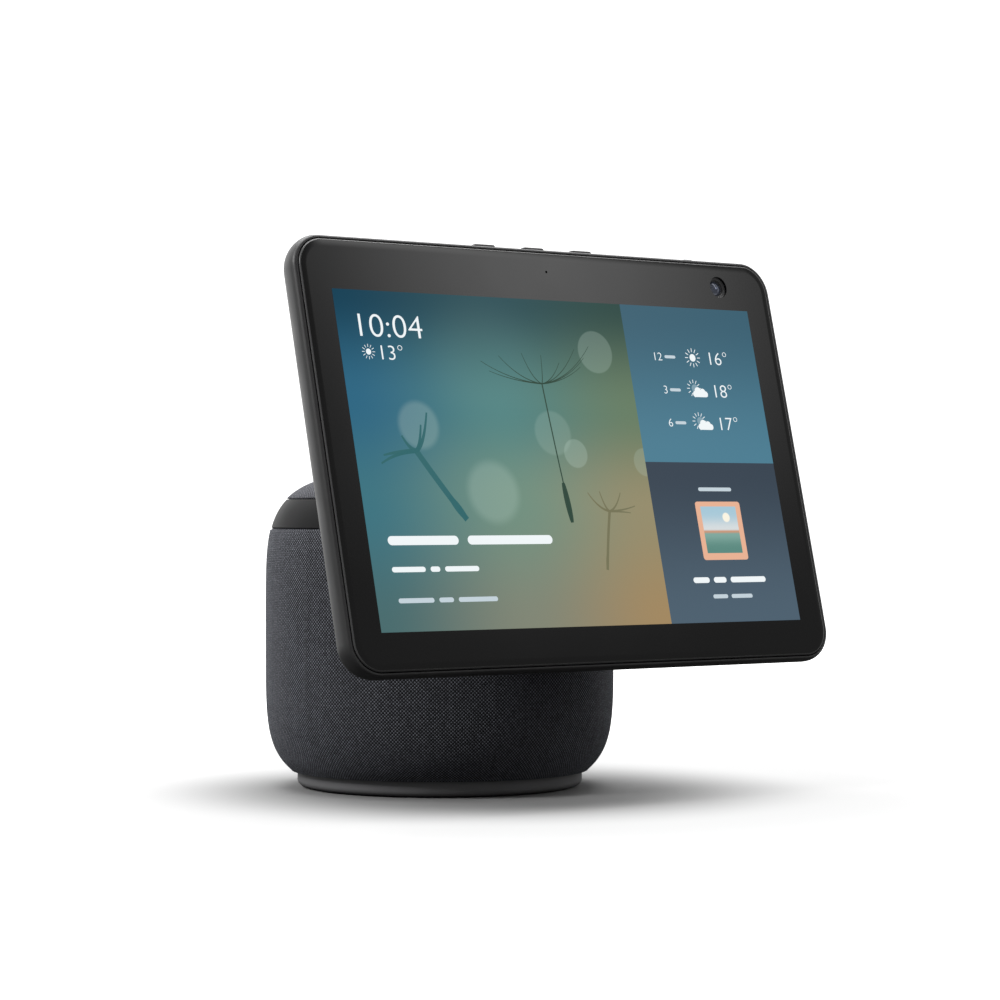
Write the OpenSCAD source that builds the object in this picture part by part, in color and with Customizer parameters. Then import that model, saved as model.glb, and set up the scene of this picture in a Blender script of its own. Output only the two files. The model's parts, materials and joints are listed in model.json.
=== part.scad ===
// Smart display: a round speaker base whose collar turns a screen on a tilting neck.
// Origin: on the table under the base's axis. +Z is up, the screen faces -Y, +X is to its viewer's right.

/* [Base] */
// Widest radius of the base
base_r = 74.5; // [66:0.5:92]
// Height of the base at the middle of its top
base_h = 135; // [128:1:165]
// Radius of the foot
foot_r = 60.9; // [52:0.1:62]
// Height of the foot
foot_h = 7; // [6.4:0.1:9]
// Thickness of the fabric and its backing
fabric_t = 1.2; // [0.8:0.1:1.6]
// Wall of the shells under the fabric
shell_t = 2.4; // [1.8:0.1:3]

/* [Collar] */
// Height of the turning collar
band_h = 11.9; // [10.5:0.1:14.3]
// Gap between the collar and the fabric on each side of it
band_gap = 0.6; // [0.4:0.1:1]
// Drop from the top of the base to the top of the collar
band_drop = 12.9; // [11:0.1:15]
// Wall of the collar
band_t = 2.3; // [1.8:0.1:3]

/* [Turning drive] */
// Module of the gear teeth
gear_module = 1.2; // [1:0.05:1.4]
// Teeth on the ring gear
gear_teeth = 60; // [52:4:68]
// Teeth on the motor's pinion
pinion_teeth = 15; // [13:1:17]
// Radius of the hollow spindle
spindle_r = 14; // [12:0.5:17]
// Radius of the motor's shaft
shaft_r = 2; // [1.5:0.1:2.5]

/* [Screen] */
// Width of the screen housing
screen_w = 250; // [208:1:300]
// Height of the screen housing
screen_h = 176; // [160:1:212]
// Depth of the screen housing
screen_d = 18; // [17.5:0.1:21.6]
// Radius of the housing's corners
corner_r = 14; // [12.5:0.5:17]
// Width of the rim that shows around the cover glass
rim_w = 3.4; // [3:0.1:4]
// Thickness of the cover glass
glass_t = 1.1; // [0.9:0.1:1.3]
// Width of the bezel at the left and right of the picture
bezel_x = 12.2; // [10:0.1:15]
// Width of the bezel at the bottom of the picture
bezel_bottom = 13.9; // [12:0.1:17]
// Width of the bezel at the top of the picture
bezel_top = 19.2; // [18:0.1:23]
// Wall of the screen housing
housing_t = 2; // [1.6:0.1:2.4]

/* [Tilt hinge] */
// Angle that the screen leans back at rest
rest_tilt = 14; // [0:1:30]
// Radius of the hinge pin
pin_r = 2.5; // [2:0.1:3]
// Radius of the arm's barrel round the pin
barrel_r = 6; // [5.5:0.1:6.4]
// Width of the neck
neck_w = 34.8; // [29:0.1:42]
// Gap between the base and the pin's axis
hinge_gap = 2.5; // [2.3:0.1:4]

/* [Buttons] */
// Length of a button
button_l = 11.5; // [9.5:0.1:13.8]
// Distance between two buttons
button_pitch = 25.5; // [21:0.5:31]
// Height that a button stands above the edge
button_proud = 1.9; // [1.6:0.1:2.3]
// Travel of a button
button_travel = 0.5; // [0.3:0.1:0.6]
// Travel of the camera shutter
shutter_travel = 9.5; // [9:0.5:11]

/* [Sound] */
// Radius of the woofer's frame
woofer_r = 40; // [34:0.5:46]
// Radius of a tweeter's frame
tweeter_r = 12.5; // [10.5:0.5:13]

/* [Power inlet] */
// Radius of the inlet's hole
jack_r = 2.85; // [2.5:0.05:3.3]
// Height of the inlet above the table
inlet_z = 24; // [20:1:28]

/* [Hidden] */
$fn = 96;

// Clearances: touching faces on one body, a turning fit, and a free gap between moving bodies
fit_gap = 0.1;
turn_gap = 0.05;
free_gap = 0.5;
eps = 0.01;

// The base's outline is a superellipse whose lowest part is hidden by the foot
base_dip = 3;
shoulder_power = 3.5;
side_power = 5.3;
outline_mid = (base_h - base_dip) / 2;
outline_half = (base_h + base_dip) / 2;

// Levels up the base
pad_proud = 0.6;
shell_floor = foot_h + 2.4;
woofer_z = foot_h + 17;
band_top = base_h - band_drop;
band_bottom = band_top - band_h;
deck_t = 2.4;
deck_top = band_bottom - 3.8;
deck_z = deck_top - deck_t;
flange_top = deck_top + 1;
hub_bottom = flange_top + 1;
gear_z = hub_bottom + 0.1;
disc_t = 3;
disc_z = band_bottom + 3.2;
disc_top = disc_z + disc_t;
hub_top = disc_top + 0.6;

// Radii inside the base
shell_out = fabric_t;
shell_in = fabric_t + shell_t;
deck_r = base_radius(deck_top, shell_in) - 0.3;
band_out = 0.25;
band_in = band_out + band_t;
turn_r = base_radius(disc_top, band_in) - 0.3;
chamber_r = base_r - 12.5;
chamber_t = 2.2;
hub_r = spindle_r + 8;
bush_r = spindle_r + 2;

// Gears
gear_r = gear_module * gear_teeth / 2;
pinion_r = gear_module * pinion_teeth / 2;
motor_y = gear_r + pinion_r;
motor_r = 14;
motor_h = 20;

// Tweeters and woofer
tweeter_x = tweeter_r + 14.5;
tweeter_y = sqrt(pow(base_radius(deck_z, shell_in) - 4, 2) - pow(tweeter_x + tweeter_r, 2)) - 1.5;
tweeter_z = deck_z - tweeter_r - 0.6;
cone_r = woofer_r - 9;
coil_r = 13.1;
screw_r = 1.5;

// Hinge: the pin lies in front of the collar, just behind the screen's back
hinge_y = -(base_r + hinge_gap);
hinge_z = (band_bottom + band_top) / 2 - 0.15;
hinge_depth = screen_d + 2;
hinge_drop = 20;
cover_r = barrel_r + 1;
cover_in = barrel_r + 0.1;
arm_w = 24;
arm_low = hinge_z - 3.7;
arm_top = disc_top + 3.2;
ear_x = neck_w / 2 + 0.5;
ear_t = 4;
ear_mid = ear_x + ear_t / 2;
bush_hole_r = pin_r + 1.6;

// Screen layers, as depths behind the front of the glass
glass_w = screen_w - 2 * rim_w - 0.7;
glass_h = screen_h - 2 * rim_w + 0.1;
glass_r = corner_r - rim_w;
rim_y = 0.8;
widest_y = 4;
rim_round = 1.4;
back_round = 10;
tape_y = glass_t + 0.5;
plate_y = 5;
plate_back = 6.2;
picture_w = glass_w - 2 * bezel_x;
picture_h = glass_h - bezel_top - bezel_bottom;
picture_z = (bezel_bottom - bezel_top) / 2;
panel_w = picture_w + 5;
panel_h = picture_h + 5;
hinge_plate_y = hinge_depth - cover_r - 3;
frame_screw_x = glass_w / 2 - 7;
edge_z = screen_h / 2;
button_y = 7;
button_d = 3.4;
shutter_proud = 1.5;
camera_x = glass_w / 2 - 26.6;
camera_z = glass_h / 2 - 9;
shutter_x = camera_x - shutter_travel;

// Radius of the base's outline at a height, drawn in by an inset
function base_radius(z, inset = 0) =
  (base_r - inset)
  * pow(1 - pow(min(1, abs(z - outline_mid) / (outline_half - inset)), side_power), 1 / shoulder_power);

// Angle that gives a height on the outline
function outline_angle(z, inset) =
  let (s = min(1, abs(z - outline_mid) / (outline_half - inset)))
  sign(z - outline_mid) * asin(pow(s, side_power / 2));

// Point of the outline at an angle from -90 to 90
function outline_point(a, inset) = [
  (base_r - inset) * pow(max(0, cos(a)), 2 / shoulder_power),
  outline_mid + sign(a) * (outline_half - inset) * pow(abs(sin(a)), 2 / side_power)
];

// Points of the outline between two heights
function outline(z0, z1, inset, steps) =
  let (a0 = outline_angle(z0, inset), a1 = outline_angle(z1, inset))
  [for (i = [0:steps]) outline_point(a0 + (a1 - a0) * i / steps, inset)];

function reversed(list) = [for (i = [len(list) - 1:-1:0]) list[i]];

// Wall that follows the base's outline between two insets
module outline_wall(z0, z1, outer, inner, steps) {
  rotate_extrude()
    polygon(concat(outline(z0, z1, outer, steps), reversed(outline(z0, z1, inner, steps))));
}

// Solid inside the base's outline
module outline_solid(z0, z1, inset, steps) {
  rotate_extrude()
    polygon(concat([[0, z0]], outline(z0, z1, inset, steps), [[0, z1]]));
}

// Closed cap that follows the outline from a height to the top
module outline_cap(z0, outer, inner, steps) {
  rotate_extrude()
    polygon(concat(
      outline(z0, base_h - outer, outer, steps),
      reversed(outline(z0, base_h - inner, inner, steps))
    ));
}

// Ring between two radii and two heights
module ring(r_in, r_out, z0, z1) {
  translate([0, 0, z0])
    difference() {
      cylinder(h = z1 - z0, r = r_out);
      translate([0, 0, -1]) cylinder(h = z1 - z0 + 2, r = r_in);
    }
}

// Box given by its low and high corners
module block(low, high) {
  translate(low) cube(high - low);
}

// Copies at even angles round the base's axis
module around(count, radius, start = 0) {
  for (i = [0:count - 1])
    rotate([0, 0, start + i * 360 / count]) translate([radius, 0, 0]) children();
}

// Pan-head screw standing on its head at z = 0, with its shank along +Z
module screw(length) {
  cylinder(h = length, r = screw_r, $fn = 24);
  translate([0, 0, -1.6]) cylinder(h = 1.6, r = 2.7, $fn = 24);
}

module screw_hole(length) {
  translate([0, 0, -eps]) cylinder(h = length + 2 * eps, r = screw_r + fit_gap, $fn = 24);
}

// Rounded rectangle on the X-Z plane, between two depths
module slab(w, h, r, y0, y1) {
  translate([0, y1, 0])
    rotate([90, 0, 0])
      linear_extrude(y1 - y0)
        union() {
          square([w - 2 * r, h], center = true);
          square([w, h - 2 * r], center = true);
          for (x = [-1, 1], z = [-1, 1])
            translate([x * (w / 2 - r), z * (h / 2 - r)]) circle(r, $fn = 48);
        }
}

// Places what is drawn in the screen's own frame: origin at the middle of the glass's front,
// +Z up the screen and +Y into it
module on_screen() {
  translate([0, hinge_y, hinge_z])
    rotate([-rest_tilt, 0, 0])
      translate([0, -hinge_depth, hinge_drop])
        children();
}

// Cylinder along X
module bar(x0, x1, r, y, z) {
  translate([x0, y, z]) rotate([0, 90, 0]) cylinder(h = x1 - x0, r = r, $fn = 48);
}

// Cylinder along Y
module post(y0, y1, r, x, z) {
  translate([x, y1, z]) rotate([90, 0, 0]) cylinder(h = y1 - y0, r = r, $fn = 32);
}

// ---- Foot ----

pad_r = foot_r - 4;
pad_top = pad_proud + 1;
foot_floor = pad_proud + 3.4;
foot_screw_r = foot_r - 20;
foot_screw_z = pad_top + 1.7;

module foot_pad() {
  color("dimgray") cylinder(h = pad_top, r = pad_r);
}

module foot_shell() {
  round_r = 2.6;
  color([0.2, 0.2, 0.21])
    difference() {
      rotate_extrude()
        polygon(concat(
          [[0, pad_proud], [foot_r - round_r, pad_proud]],
          [for (a = [-75:15:0]) [foot_r - round_r + round_r * cos(a), pad_proud + round_r * (1 + sin(a))]],
          [[foot_r, foot_h], [foot_r - 2.4, foot_h], [foot_r - 2.4, foot_floor], [0, foot_floor]]
        ));
      translate([0, 0, -1]) cylinder(h = pad_top + 1, r = pad_r);
      around(4, foot_screw_r, 45) translate([0, 0, pad_top - 1]) cylinder(h = 2.7, r = 3, $fn = 24);
      around(4, foot_screw_r, 45) translate([0, 0, pad_top]) screw_hole(4);
    }
}

module ballast_plate() {
  color("slategray")
    difference() {
      translate([0, 0, foot_floor]) cylinder(h = foot_h - foot_floor, r = foot_r - 3);
      around(4, foot_screw_r, 45) translate([0, 0, pad_top]) screw_hole(foot_h);
    }
}

module foot_screws() {
  color("silver")
    around(4, foot_screw_r, 45) translate([0, 0, foot_screw_z]) screw(shell_floor - foot_screw_z - 0.4);
}

// ---- Base shell and fabric ----

shell_top = band_bottom - band_gap;
floor_r = base_radius(foot_h, shell_out);
ledge_in = base_radius(deck_z, shell_in) - 6.4;

module base_shell() {
  slot_w = 7;
  slot_top = woofer_z - 1;
  color("gray")
    difference() {
      rotate_extrude()
        polygon(concat(
          [[0, foot_h]],
          outline(foot_h, shell_top, shell_out, 20),
          reversed(outline(deck_z, shell_top, shell_in, 3)),
          [[ledge_in, deck_z], [ledge_in, deck_z - 2.5]],
          reversed(outline(shell_floor, deck_z - 2.5, shell_in, 16)),
          [[0, shell_floor]]
        ));
      // Sound slots round the woofer, all but at the inlet
      for (a = [-240:20:60])
        rotate([0, 0, a])
          block([base_r - 25, -slot_w / 2, shell_floor + 1.5], [base_r, slot_w / 2, slot_top]);
      // Windows in front of the tweeters
      for (x = [-1, 1]) post(-base_r, -20, tweeter_r - 2.5, x * tweeter_x, tweeter_z);
      post(20, base_r + 1, bezel_r + fit_gap, 0, inlet_z);
      around(4, foot_screw_r, 45) screw_hole(shell_floor);
      around(4, deck_screw_r, 45) translate([0, 0, deck_z - 3]) screw_hole(4);
    }
}

module base_fabric() {
  color([0.27, 0.28, 0.31])
    difference() {
      outline_wall(foot_h, shell_top, 0, fabric_t, 20);
      post(20, base_r + 1, bezel_r + fit_gap, 0, inlet_z);
    }
}

// ---- Sound ----

module sound_deflector() {
  color("dimgray")
    rotate_extrude()
      polygon([
        [0, shell_floor], [floor_r - 8, shell_floor], [floor_r - 8, shell_floor + 0.8],
        [cone_r - 4, shell_floor + 1.8], [12, shell_floor + 6], [4, shell_floor + 9], [0, shell_floor + 9.6]
      ]);
}

chamber_floor = woofer_z + 2.5;
chamber_top = tweeter_z - tweeter_r - 1;
chamber_back = base_r - 36.5;

module chamber_outline(r, back, z0, z1) {
  intersection() {
    translate([0, 0, z0]) cylinder(h = z1 - z0, r = r);
    block([-base_r, -base_r, z0 - 1], [base_r, back, z1 + 1]);
  }
}

module woofer_chamber() {
  color([0.25, 0.25, 0.27])
    difference() {
      chamber_outline(chamber_r, chamber_back, chamber_floor, chamber_top);
      chamber_outline(
        chamber_r - chamber_t, chamber_back - chamber_t,
        chamber_floor + 2.5, chamber_top - chamber_t
      );
      translate([0, 0, chamber_floor - 1]) cylinder(h = 6, r = woofer_r - 3.5);
      around(4, woofer_r - 1.8, 45) translate([0, 0, chamber_floor]) screw_hole(3);
    }
}

basket_top = woofer_z + 22;

module woofer_basket() {
  color("darkslategray")
    difference() {
      rotate_extrude()
        polygon([
          [cone_r + 3, woofer_z], [woofer_r + 1, woofer_z], [woofer_r + 1, chamber_floor],
          [woofer_r - 4, chamber_floor], [24, basket_top - 1], [24, basket_top + 1.5],
          [coil_r + 0.5, basket_top + 1.5], [coil_r + 0.5, basket_top - 1], [22, basket_top - 1],
          [cone_r + 3, woofer_z + 2]
        ]);
      around(4, woofer_r - 1.8, 45) translate([0, 0, woofer_z - 1]) screw_hole(5);
    }
}

module woofer_magnet() {
  z0 = basket_top + 1.5;
  color("dimgray")
    rotate_extrude()
      polygon([
        [coil_r + 0.5, z0], [27, z0], [27, z0 + 15], [0, z0 + 15], [0, z0], [coil_r - 1.3, z0],
        [coil_r - 1.3, z0 + 12], [coil_r + 0.5, z0 + 12]
      ]);
}

module woofer_surround() {
  roll = 2;
  mid = cone_r + 0.3 + roll;
  color("black")
    rotate_extrude()
      polygon(concat(
        [for (a = [180:-20:0]) [mid + roll * cos(a), woofer_z - roll * sin(a)]],
        [for (a = [0:20:180]) [mid + (roll - 0.6) * cos(a), woofer_z - (roll - 0.6) * sin(a)]]
      ));
}

module woofer_cone() {
  t = 0.8;
  z0 = woofer_z;
  z1 = woofer_z + 13;
  color([0.15, 0.15, 0.16])
    rotate_extrude()
      polygon([
        [cone_r, z0], [cone_r, z0 + t], [coil_r, z1 + t], [0, z1 + t], [0, z1 - 5],
        [7, z1 - 3.6], [coil_r - 1, z1 - 0.4], [coil_r - 1, z1], [coil_r, z1], [cone_r - 1, z0]
      ]);
}

module woofer_coil() {
  color("peru") ring(coil_r - 0.9, coil_r, woofer_z + 13.8, basket_top + 8);
}

module woofer_screws() {
  color("silver") around(4, woofer_r - 1.8, 45) translate([0, 0, woofer_z]) screw(4.6);
}

baffle_y = -tweeter_y;

module tweeter_baffle() {
  baffle_x = tweeter_x + tweeter_r - 2.5;
  color("dimgray")
    difference() {
      block([-baffle_x, baffle_y + 2, chamber_top], [baffle_x, baffle_y + 4.5, deck_z]);
      for (x = [-1, 1]) post(baffle_y, baffle_y + 6, tweeter_r - 3, x * tweeter_x, tweeter_z);
    }
}

module tweeter(x) {
  color("dimgray")
    union() {
      difference() {
        post(baffle_y, baffle_y + 2, tweeter_r - 0.5, x, tweeter_z);
        post(baffle_y - 1, baffle_y + 1, tweeter_r - 5, x, tweeter_z);
      }
      post(baffle_y + 1.5, baffle_y + 9, tweeter_r - 3.1, x, tweeter_z);
      post(baffle_y + 8, baffle_y + 13, tweeter_r - 5, x, tweeter_z);
    }
}

module left_tweeter() {
  tweeter(-tweeter_x);
}

module right_tweeter() {
  tweeter(tweeter_x);
}

// ---- Electronics in the base ----

board_z0 = inlet_z + 10;
board_z1 = deck_z - motor_h - 3;

module power_board() {
  y = chamber_back + 5;
  color("darkgreen")
    union() {
      block([-30, y, board_z0], [30, y + 1.6, board_z1]);
      block([-24, y + 1.6, board_z0 + 4], [-8, y + 8, board_z0 + 20]);
      block([4, y + 1.6, board_z0 + 4], [22, y + 7, board_z0 + 16]);
      for (x = [-16, 0, 16]) post(y + 1.6, y + 9, 4, x, board_z1 - 8);
    }
}

sink_y = chamber_back + 20.6;

module amplifier_board() {
  color("darkgreen")
    union() {
      block([-30, sink_y - 3.2, board_z0], [30, sink_y - 1.6, board_z1]);
      block([-9, sink_y - 1.6, board_z0 + 16], [9, sink_y, board_z0 + 30]);
    }
}

module amplifier_heat_sink() {
  color("silver")
    union() {
      block([-18, sink_y, board_z0 + 6], [18, sink_y + 1.6, board_z1 - 2]);
      for (x = [-18:4.5:18])
        block([x * 0.96 - 0.7, sink_y + 1.6 - eps, board_z0 + 6], [x * 0.96 + 0.7, sink_y + 6, board_z1 - 2]);
    }
}

bezel_r = 8.5;
inlet_face = base_radius(inlet_z, 0) - 6;

module power_inlet() {
  color("black")
    union() {
      difference() {
        block([-5.5, inlet_face - 15, inlet_z - 5.5], [5.5, inlet_face, inlet_z + 5.5]);
        post(inlet_face - 11, inlet_face + 1, jack_r, 0, inlet_z);
      }
      post(inlet_face - 12, inlet_face - 1.5, 1, 0, inlet_z);
    }
}

module inlet_bezel() {
  color([0.12, 0.12, 0.13])
    intersection() {
      difference() {
        post(inlet_face, base_r + 1, bezel_r, 0, inlet_z);
        post(inlet_face + 1.6, base_r + 2, bezel_r - 1.8, 0, inlet_z);
        post(inlet_face - 1, base_r, jack_r + 0.6, 0, inlet_z);
      }
      outline_solid(foot_h, shell_top, 0, 24);
    }
}

// ---- Turning drive, fixed side ----

deck_screw_r = ledge_in + 2.9;

module motor_deck() {
  color("silver")
    difference() {
      translate([0, 0, deck_z]) cylinder(h = deck_t, r = deck_r);
      translate([0, 0, deck_z - 1]) cylinder(h = 9, r = spindle_r - 4);
      translate([0, motor_y, deck_z - 1]) cylinder(h = 9, r = 5 + turn_gap);
      around(4, deck_screw_r, 45) translate([0, 0, deck_z - 1]) screw_hole(4);
    }
}

module deck_screws() {
  color("silver")
    around(4, deck_screw_r, 45) translate([0, 0, deck_top]) mirror([0, 0, 1]) screw(deck_t + 2.6);
}

module pan_motor() {
  color("darkslategray")
    difference() {
      union() {
        translate([0, motor_y, deck_z - motor_h]) cylinder(h = motor_h, r = motor_r);
        translate([0, motor_y, deck_z - eps]) cylinder(h = deck_t - 0.4, r = 5);
      }
      translate([0, motor_y, deck_z - motor_h + 3]) cylinder(h = motor_h + 5, r = shaft_r + turn_gap);
    }
}

module motor_shaft() {
  color("silver")
    translate([0, motor_y, deck_z - motor_h + 4])
      cylinder(h = disc_z - 0.4 - deck_z + motor_h - 4, r = shaft_r);
}

module spindle() {
  color("silver")
    difference() {
      union() {
        translate([0, 0, deck_top]) cylinder(h = flange_top - deck_top, r = hub_r - 0.5);
        translate([0, 0, deck_top]) cylinder(h = hub_top + 2.4 - deck_top, r = spindle_r);
      }
      translate([0, 0, deck_top - 1]) cylinder(h = 20, r = spindle_r - 4);
      ring(spindle_r - 1, spindle_r + 3, hub_top + turn_gap, hub_top + 1.2 + turn_gap);
    }
}

module glide_ring() {
  color("white") ring(bush_r + 0.5, hub_r - 1, flange_top, hub_bottom - turn_gap);
}

module retaining_clip() {
  color("silver") ring(spindle_r - 1, spindle_r + 3.5, hub_top + turn_gap, hub_top + 1.2 + turn_gap);
}

module spindle_cable() {
  color("black") translate([0, 0, chamber_top]) cylinder(h = hub_top + 3 - chamber_top, r = 3.5);
}

// ---- Gears ----

pressure_angle = 20;

// Involute angle at a radius, for a base circle
function involute(r, rb) = let (p = acos(min(1, rb / r))) tan(p) * 180 / PI - p;

// Half of a tooth's angle at a radius; backlash thins the teeth
function tooth_half(r, rp, rb, teeth, backlash) =
  90 / teeth * (1 - backlash) + involute(rp, rb) - involute(max(r, rb), rb);

module spur_gear(teeth, z0, z1, r_hole) {
  rp = gear_module * teeth / 2;
  rb = rp * cos(pressure_angle);
  tip = rp + 0.85 * gear_module;
  root = rp - 1.15 * gear_module;
  radii = [root, max(root, rb), rp, tip];
  half = [for (r = radii) tooth_half(r, rp, rb, teeth, 0.12)];
  points = [
    for (i = [0:teeth - 1])
      each concat(
        [for (k = [0:3]) let (a = i * 360 / teeth - half[k]) radii[k] * [cos(a), sin(a)]],
        [for (k = [3:-1:0]) let (a = i * 360 / teeth + half[k]) radii[k] * [cos(a), sin(a)]]
      )
  ];
  difference() {
    translate([0, 0, z0]) linear_extrude(z1 - z0) polygon(points);
    translate([0, 0, z0 - 1]) cylinder(h = z1 - z0 + 2, r = r_hole);
  }
}

module motor_pinion() {
  color("white")
    translate([0, motor_y, 0])
      rotate([0, 0, -90 + 180 / pinion_teeth + gear_phase()])
        spur_gear(pinion_teeth, gear_z + 0.4, disc_z - 0.4, shaft_r);
}

// Turn of the pinion that puts a gap against the ring gear's tooth or tooth against its gap
function gear_phase() = let (turn = 90 * gear_teeth / 360) (turn - floor(turn)) * -360 / pinion_teeth;

module ring_gear() {
  color("ivory") spur_gear(gear_teeth, gear_z, disc_z, hub_r);
}

// ---- Turntable ----

module turntable() {
  color("gainsboro")
    difference() {
      rotate_extrude()
        polygon([
          [bush_r, hub_bottom], [hub_r, hub_bottom], [hub_r, disc_z], [turn_r, disc_z],
          [turn_r, disc_top], [hub_r, disc_top], [hub_r, hub_top], [bush_r, hub_top]
        ]);
      around(4, gear_r - 8, 45) translate([0, 0, disc_z - 1]) cylinder(h = 6, r = 4, $fn = 24);
      arm_screw_places() translate([0, 0, disc_z - 1]) screw_hole(6);
    }
}

module hub_bush() {
  color("white") ring(spindle_r + turn_gap, bush_r, hub_bottom, hub_top);
}

module collar_band() {
  color([0.19, 0.19, 0.2])
    difference() {
      rotate_extrude()
        polygon(concat(
          outline(band_bottom, band_top, band_out, 14),
          reversed(outline(disc_z, band_top, band_in, 10)),
          [[turn_r - 3, disc_z], [turn_r - 3, disc_z - 1.8]],
          reversed(outline(band_bottom, disc_z - 1.8, band_in, 3))
        ));
      block([-arm_w / 2 - fit_gap, -base_r - 1, arm_low - 0.3], [arm_w / 2 + fit_gap, 0, arm_top + 0.3]);
    }
}

skirt_r = base_radius(band_top + 2.5, shell_in) - 0.4;

module top_shell() {
  color("gray")
    difference() {
      union() {
        outline_cap(band_top + band_gap, shell_out, shell_in, 24);
        ring(skirt_r - 2, skirt_r, disc_top, band_top + 2.2);
        intersection() {
          ring(skirt_r - 2, base_r, band_top + band_gap, band_top + 2.2);
          outline_solid(band_top, base_h - shell_out, shell_out + 0.4, 14);
        }
      }
      block([-arm_w / 2 - fit_gap, -base_r, disc_top - 1], [arm_w / 2 + fit_gap, -20, arm_top + 0.3]);
    }
}

module top_fabric() {
  color([0.33, 0.35, 0.39]) outline_cap(band_top + band_gap, 0, fabric_t, 24);
}

// ---- Arm and hinge ----

arm_back = -hub_r - 4;
arm_screw_y = [-skirt_r + 10, arm_back - 5];

module arm_screw_places() {
  for (x = [-7, 7], y = arm_screw_y) translate([x, y, 0]) children();
}

module hinge_arm() {
  color("silver")
    difference() {
      union() {
        bar(-neck_w / 2, neck_w / 2, barrel_r, hinge_y, hinge_z);
        block([-arm_w / 2, hinge_y, arm_low], [arm_w / 2, -turn_r - 0.6, arm_top - 0.4]);
        block([-arm_w / 2, hinge_y, disc_top], [arm_w / 2, arm_back, arm_top - 0.4]);
      }
      bar(-neck_w, neck_w, pin_r, hinge_y, hinge_z);
      arm_screw_places() translate([0, 0, disc_top - 1]) screw_hole(6);
    }
}

module arm_screws() {
  color("silver")
    arm_screw_places() translate([0, 0, arm_top - 0.4]) mirror([0, 0, 1]) screw(disc_t + 2.8);
}

module neck_cover() {
  low = band_bottom + 0.6;
  high = band_top - 0.9;
  w = neck_w / 2 - fit_gap;
  color([0.17, 0.17, 0.18])
    difference() {
      union() {
        bar(-w, w, cover_r, hinge_y, hinge_z);
        block([-w, hinge_y, low], [w, -base_r / 2, high]);
      }
      bar(-neck_w, neck_w, cover_in, hinge_y, hinge_z);
      block([-arm_w / 2 - fit_gap, hinge_y, arm_low - fit_gap], [arm_w / 2 + fit_gap, 0, arm_top + fit_gap]);
      outline_solid(foot_h, base_h - 1, band_out - 0.05, 30);
    }
}

module hinge_pin() {
  color("silver") bar(-ear_x - ear_t - 1.4, ear_x + ear_t + 1.4, pin_r, hinge_y, hinge_z);
}

module friction_washers() {
  color("goldenrod")
    for (s = [-1, 1])
      difference() {
        bar(s * (ear_x + ear_t + 0.7) - 0.6, s * (ear_x + ear_t + 0.7) + 0.6, 4.6, hinge_y, hinge_z);
        bar(-neck_w, neck_w, pin_r, hinge_y, hinge_z);
      }
}

// ---- Screen housing ----

// How far the housing's side is drawn in at a depth: a small round at the front, a large one behind
function side_inset(y) =
  y < widest_y
  ? rim_round * (1 - sqrt(max(0, 1 - pow((widest_y - y) / (widest_y - rim_y), 2))))
  : back_round * (1 - sqrt(max(0, 1 - pow((y - widest_y) / (screen_d - widest_y), 2))));

front_steps = [for (i = [0:3]) rim_y + (widest_y - rim_y) * i / 4];
back_steps = [for (a = [0:9:90]) widest_y + (screen_d - widest_y) * sin(a)];

// Rounded rectangle at one depth, as points going round from the right-hand side
corner_steps = 10;
ring_count = 4 * (corner_steps + 1);

function body_ring(r, y) = [
  for (q = [0:3], i = [0:corner_steps])
    let (a = 90 * (q + i / corner_steps), x = q == 0 || q == 3 ? 1 : -1, z = q < 2 ? 1 : -1)
    [x * (screen_w / 2 - corner_r) + r * cos(a), y, z * (screen_h / 2 - corner_r) + r * sin(a)]
];

// Rounded body: rings from the front to the back, thinner all round by an inset
module rounded_body(inset, y_front) {
  shrink = 1 - inset / (screen_d - widest_y);
  depths = [for (y = concat(front_steps, back_steps)) if (y >= y_front) y];
  last = len(depths) - 1;
  points = [
    for (y = depths)
      each body_ring(
        corner_r - inset - side_inset(y),
        y < widest_y ? y : widest_y + (y - widest_y) * shrink
      )
  ];
  sides = [
    for (k = [0:last - 1], i = [0:ring_count - 1])
      let (j = (i + 1) % ring_count)
      [k * ring_count + i, k * ring_count + j, (k + 1) * ring_count + j, (k + 1) * ring_count + i]
  ];
  front = [for (i = [ring_count - 1:-1:0]) i];
  back = [for (i = [0:ring_count - 1]) last * ring_count + i];
  polyhedron(points, concat(sides, [front], [back]));
}

window_w = 2 * (ear_x + ear_t + 2.2);
window_h = 17;

module rear_housing() {
  boss_r = 3;
  color([0.2, 0.2, 0.21])
    on_screen()
      difference() {
        union() {
          difference() {
            rounded_body(0, rim_y);
            rounded_body(housing_t, widest_y);
            slab(glass_w + 0.7, glass_h + 0.7, glass_r + 0.35, -1, widest_y + eps);
          }
          frame_screw_places() post(plate_back, screen_d - housing_t, boss_r, 0, 0);
        }
        frame_screw_places() post(0, plate_back + 5, screw_r, 0, 0);
        // Window for the hinge
        block(
          [-window_w / 2, screen_d - 4, -hinge_drop - window_h / 2],
          [window_w / 2, screen_d + 1, -hinge_drop + window_h / 2]
        );
        button_places() button_shape(0.2, edge_z - 6, edge_z + 3);
        button_places() button_shape(1.1, edge_z - 6, edge_z - housing_t);
        // Slot for the camera shutter
        block(
          [shutter_x - shutter_w / 2 - 0.3, button_y - button_d / 2 - 0.2, edge_z - 6],
          [camera_x + shutter_w / 2 + 0.3, button_y + button_d / 2 + 0.2, edge_z + 3]
        );
      }
}

module frame_screw_places() {
  for (x = [-1, 1], z = [-0.4, 0, 0.4]) translate([x * frame_screw_x, 0, z * glass_h]) children();
}

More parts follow.
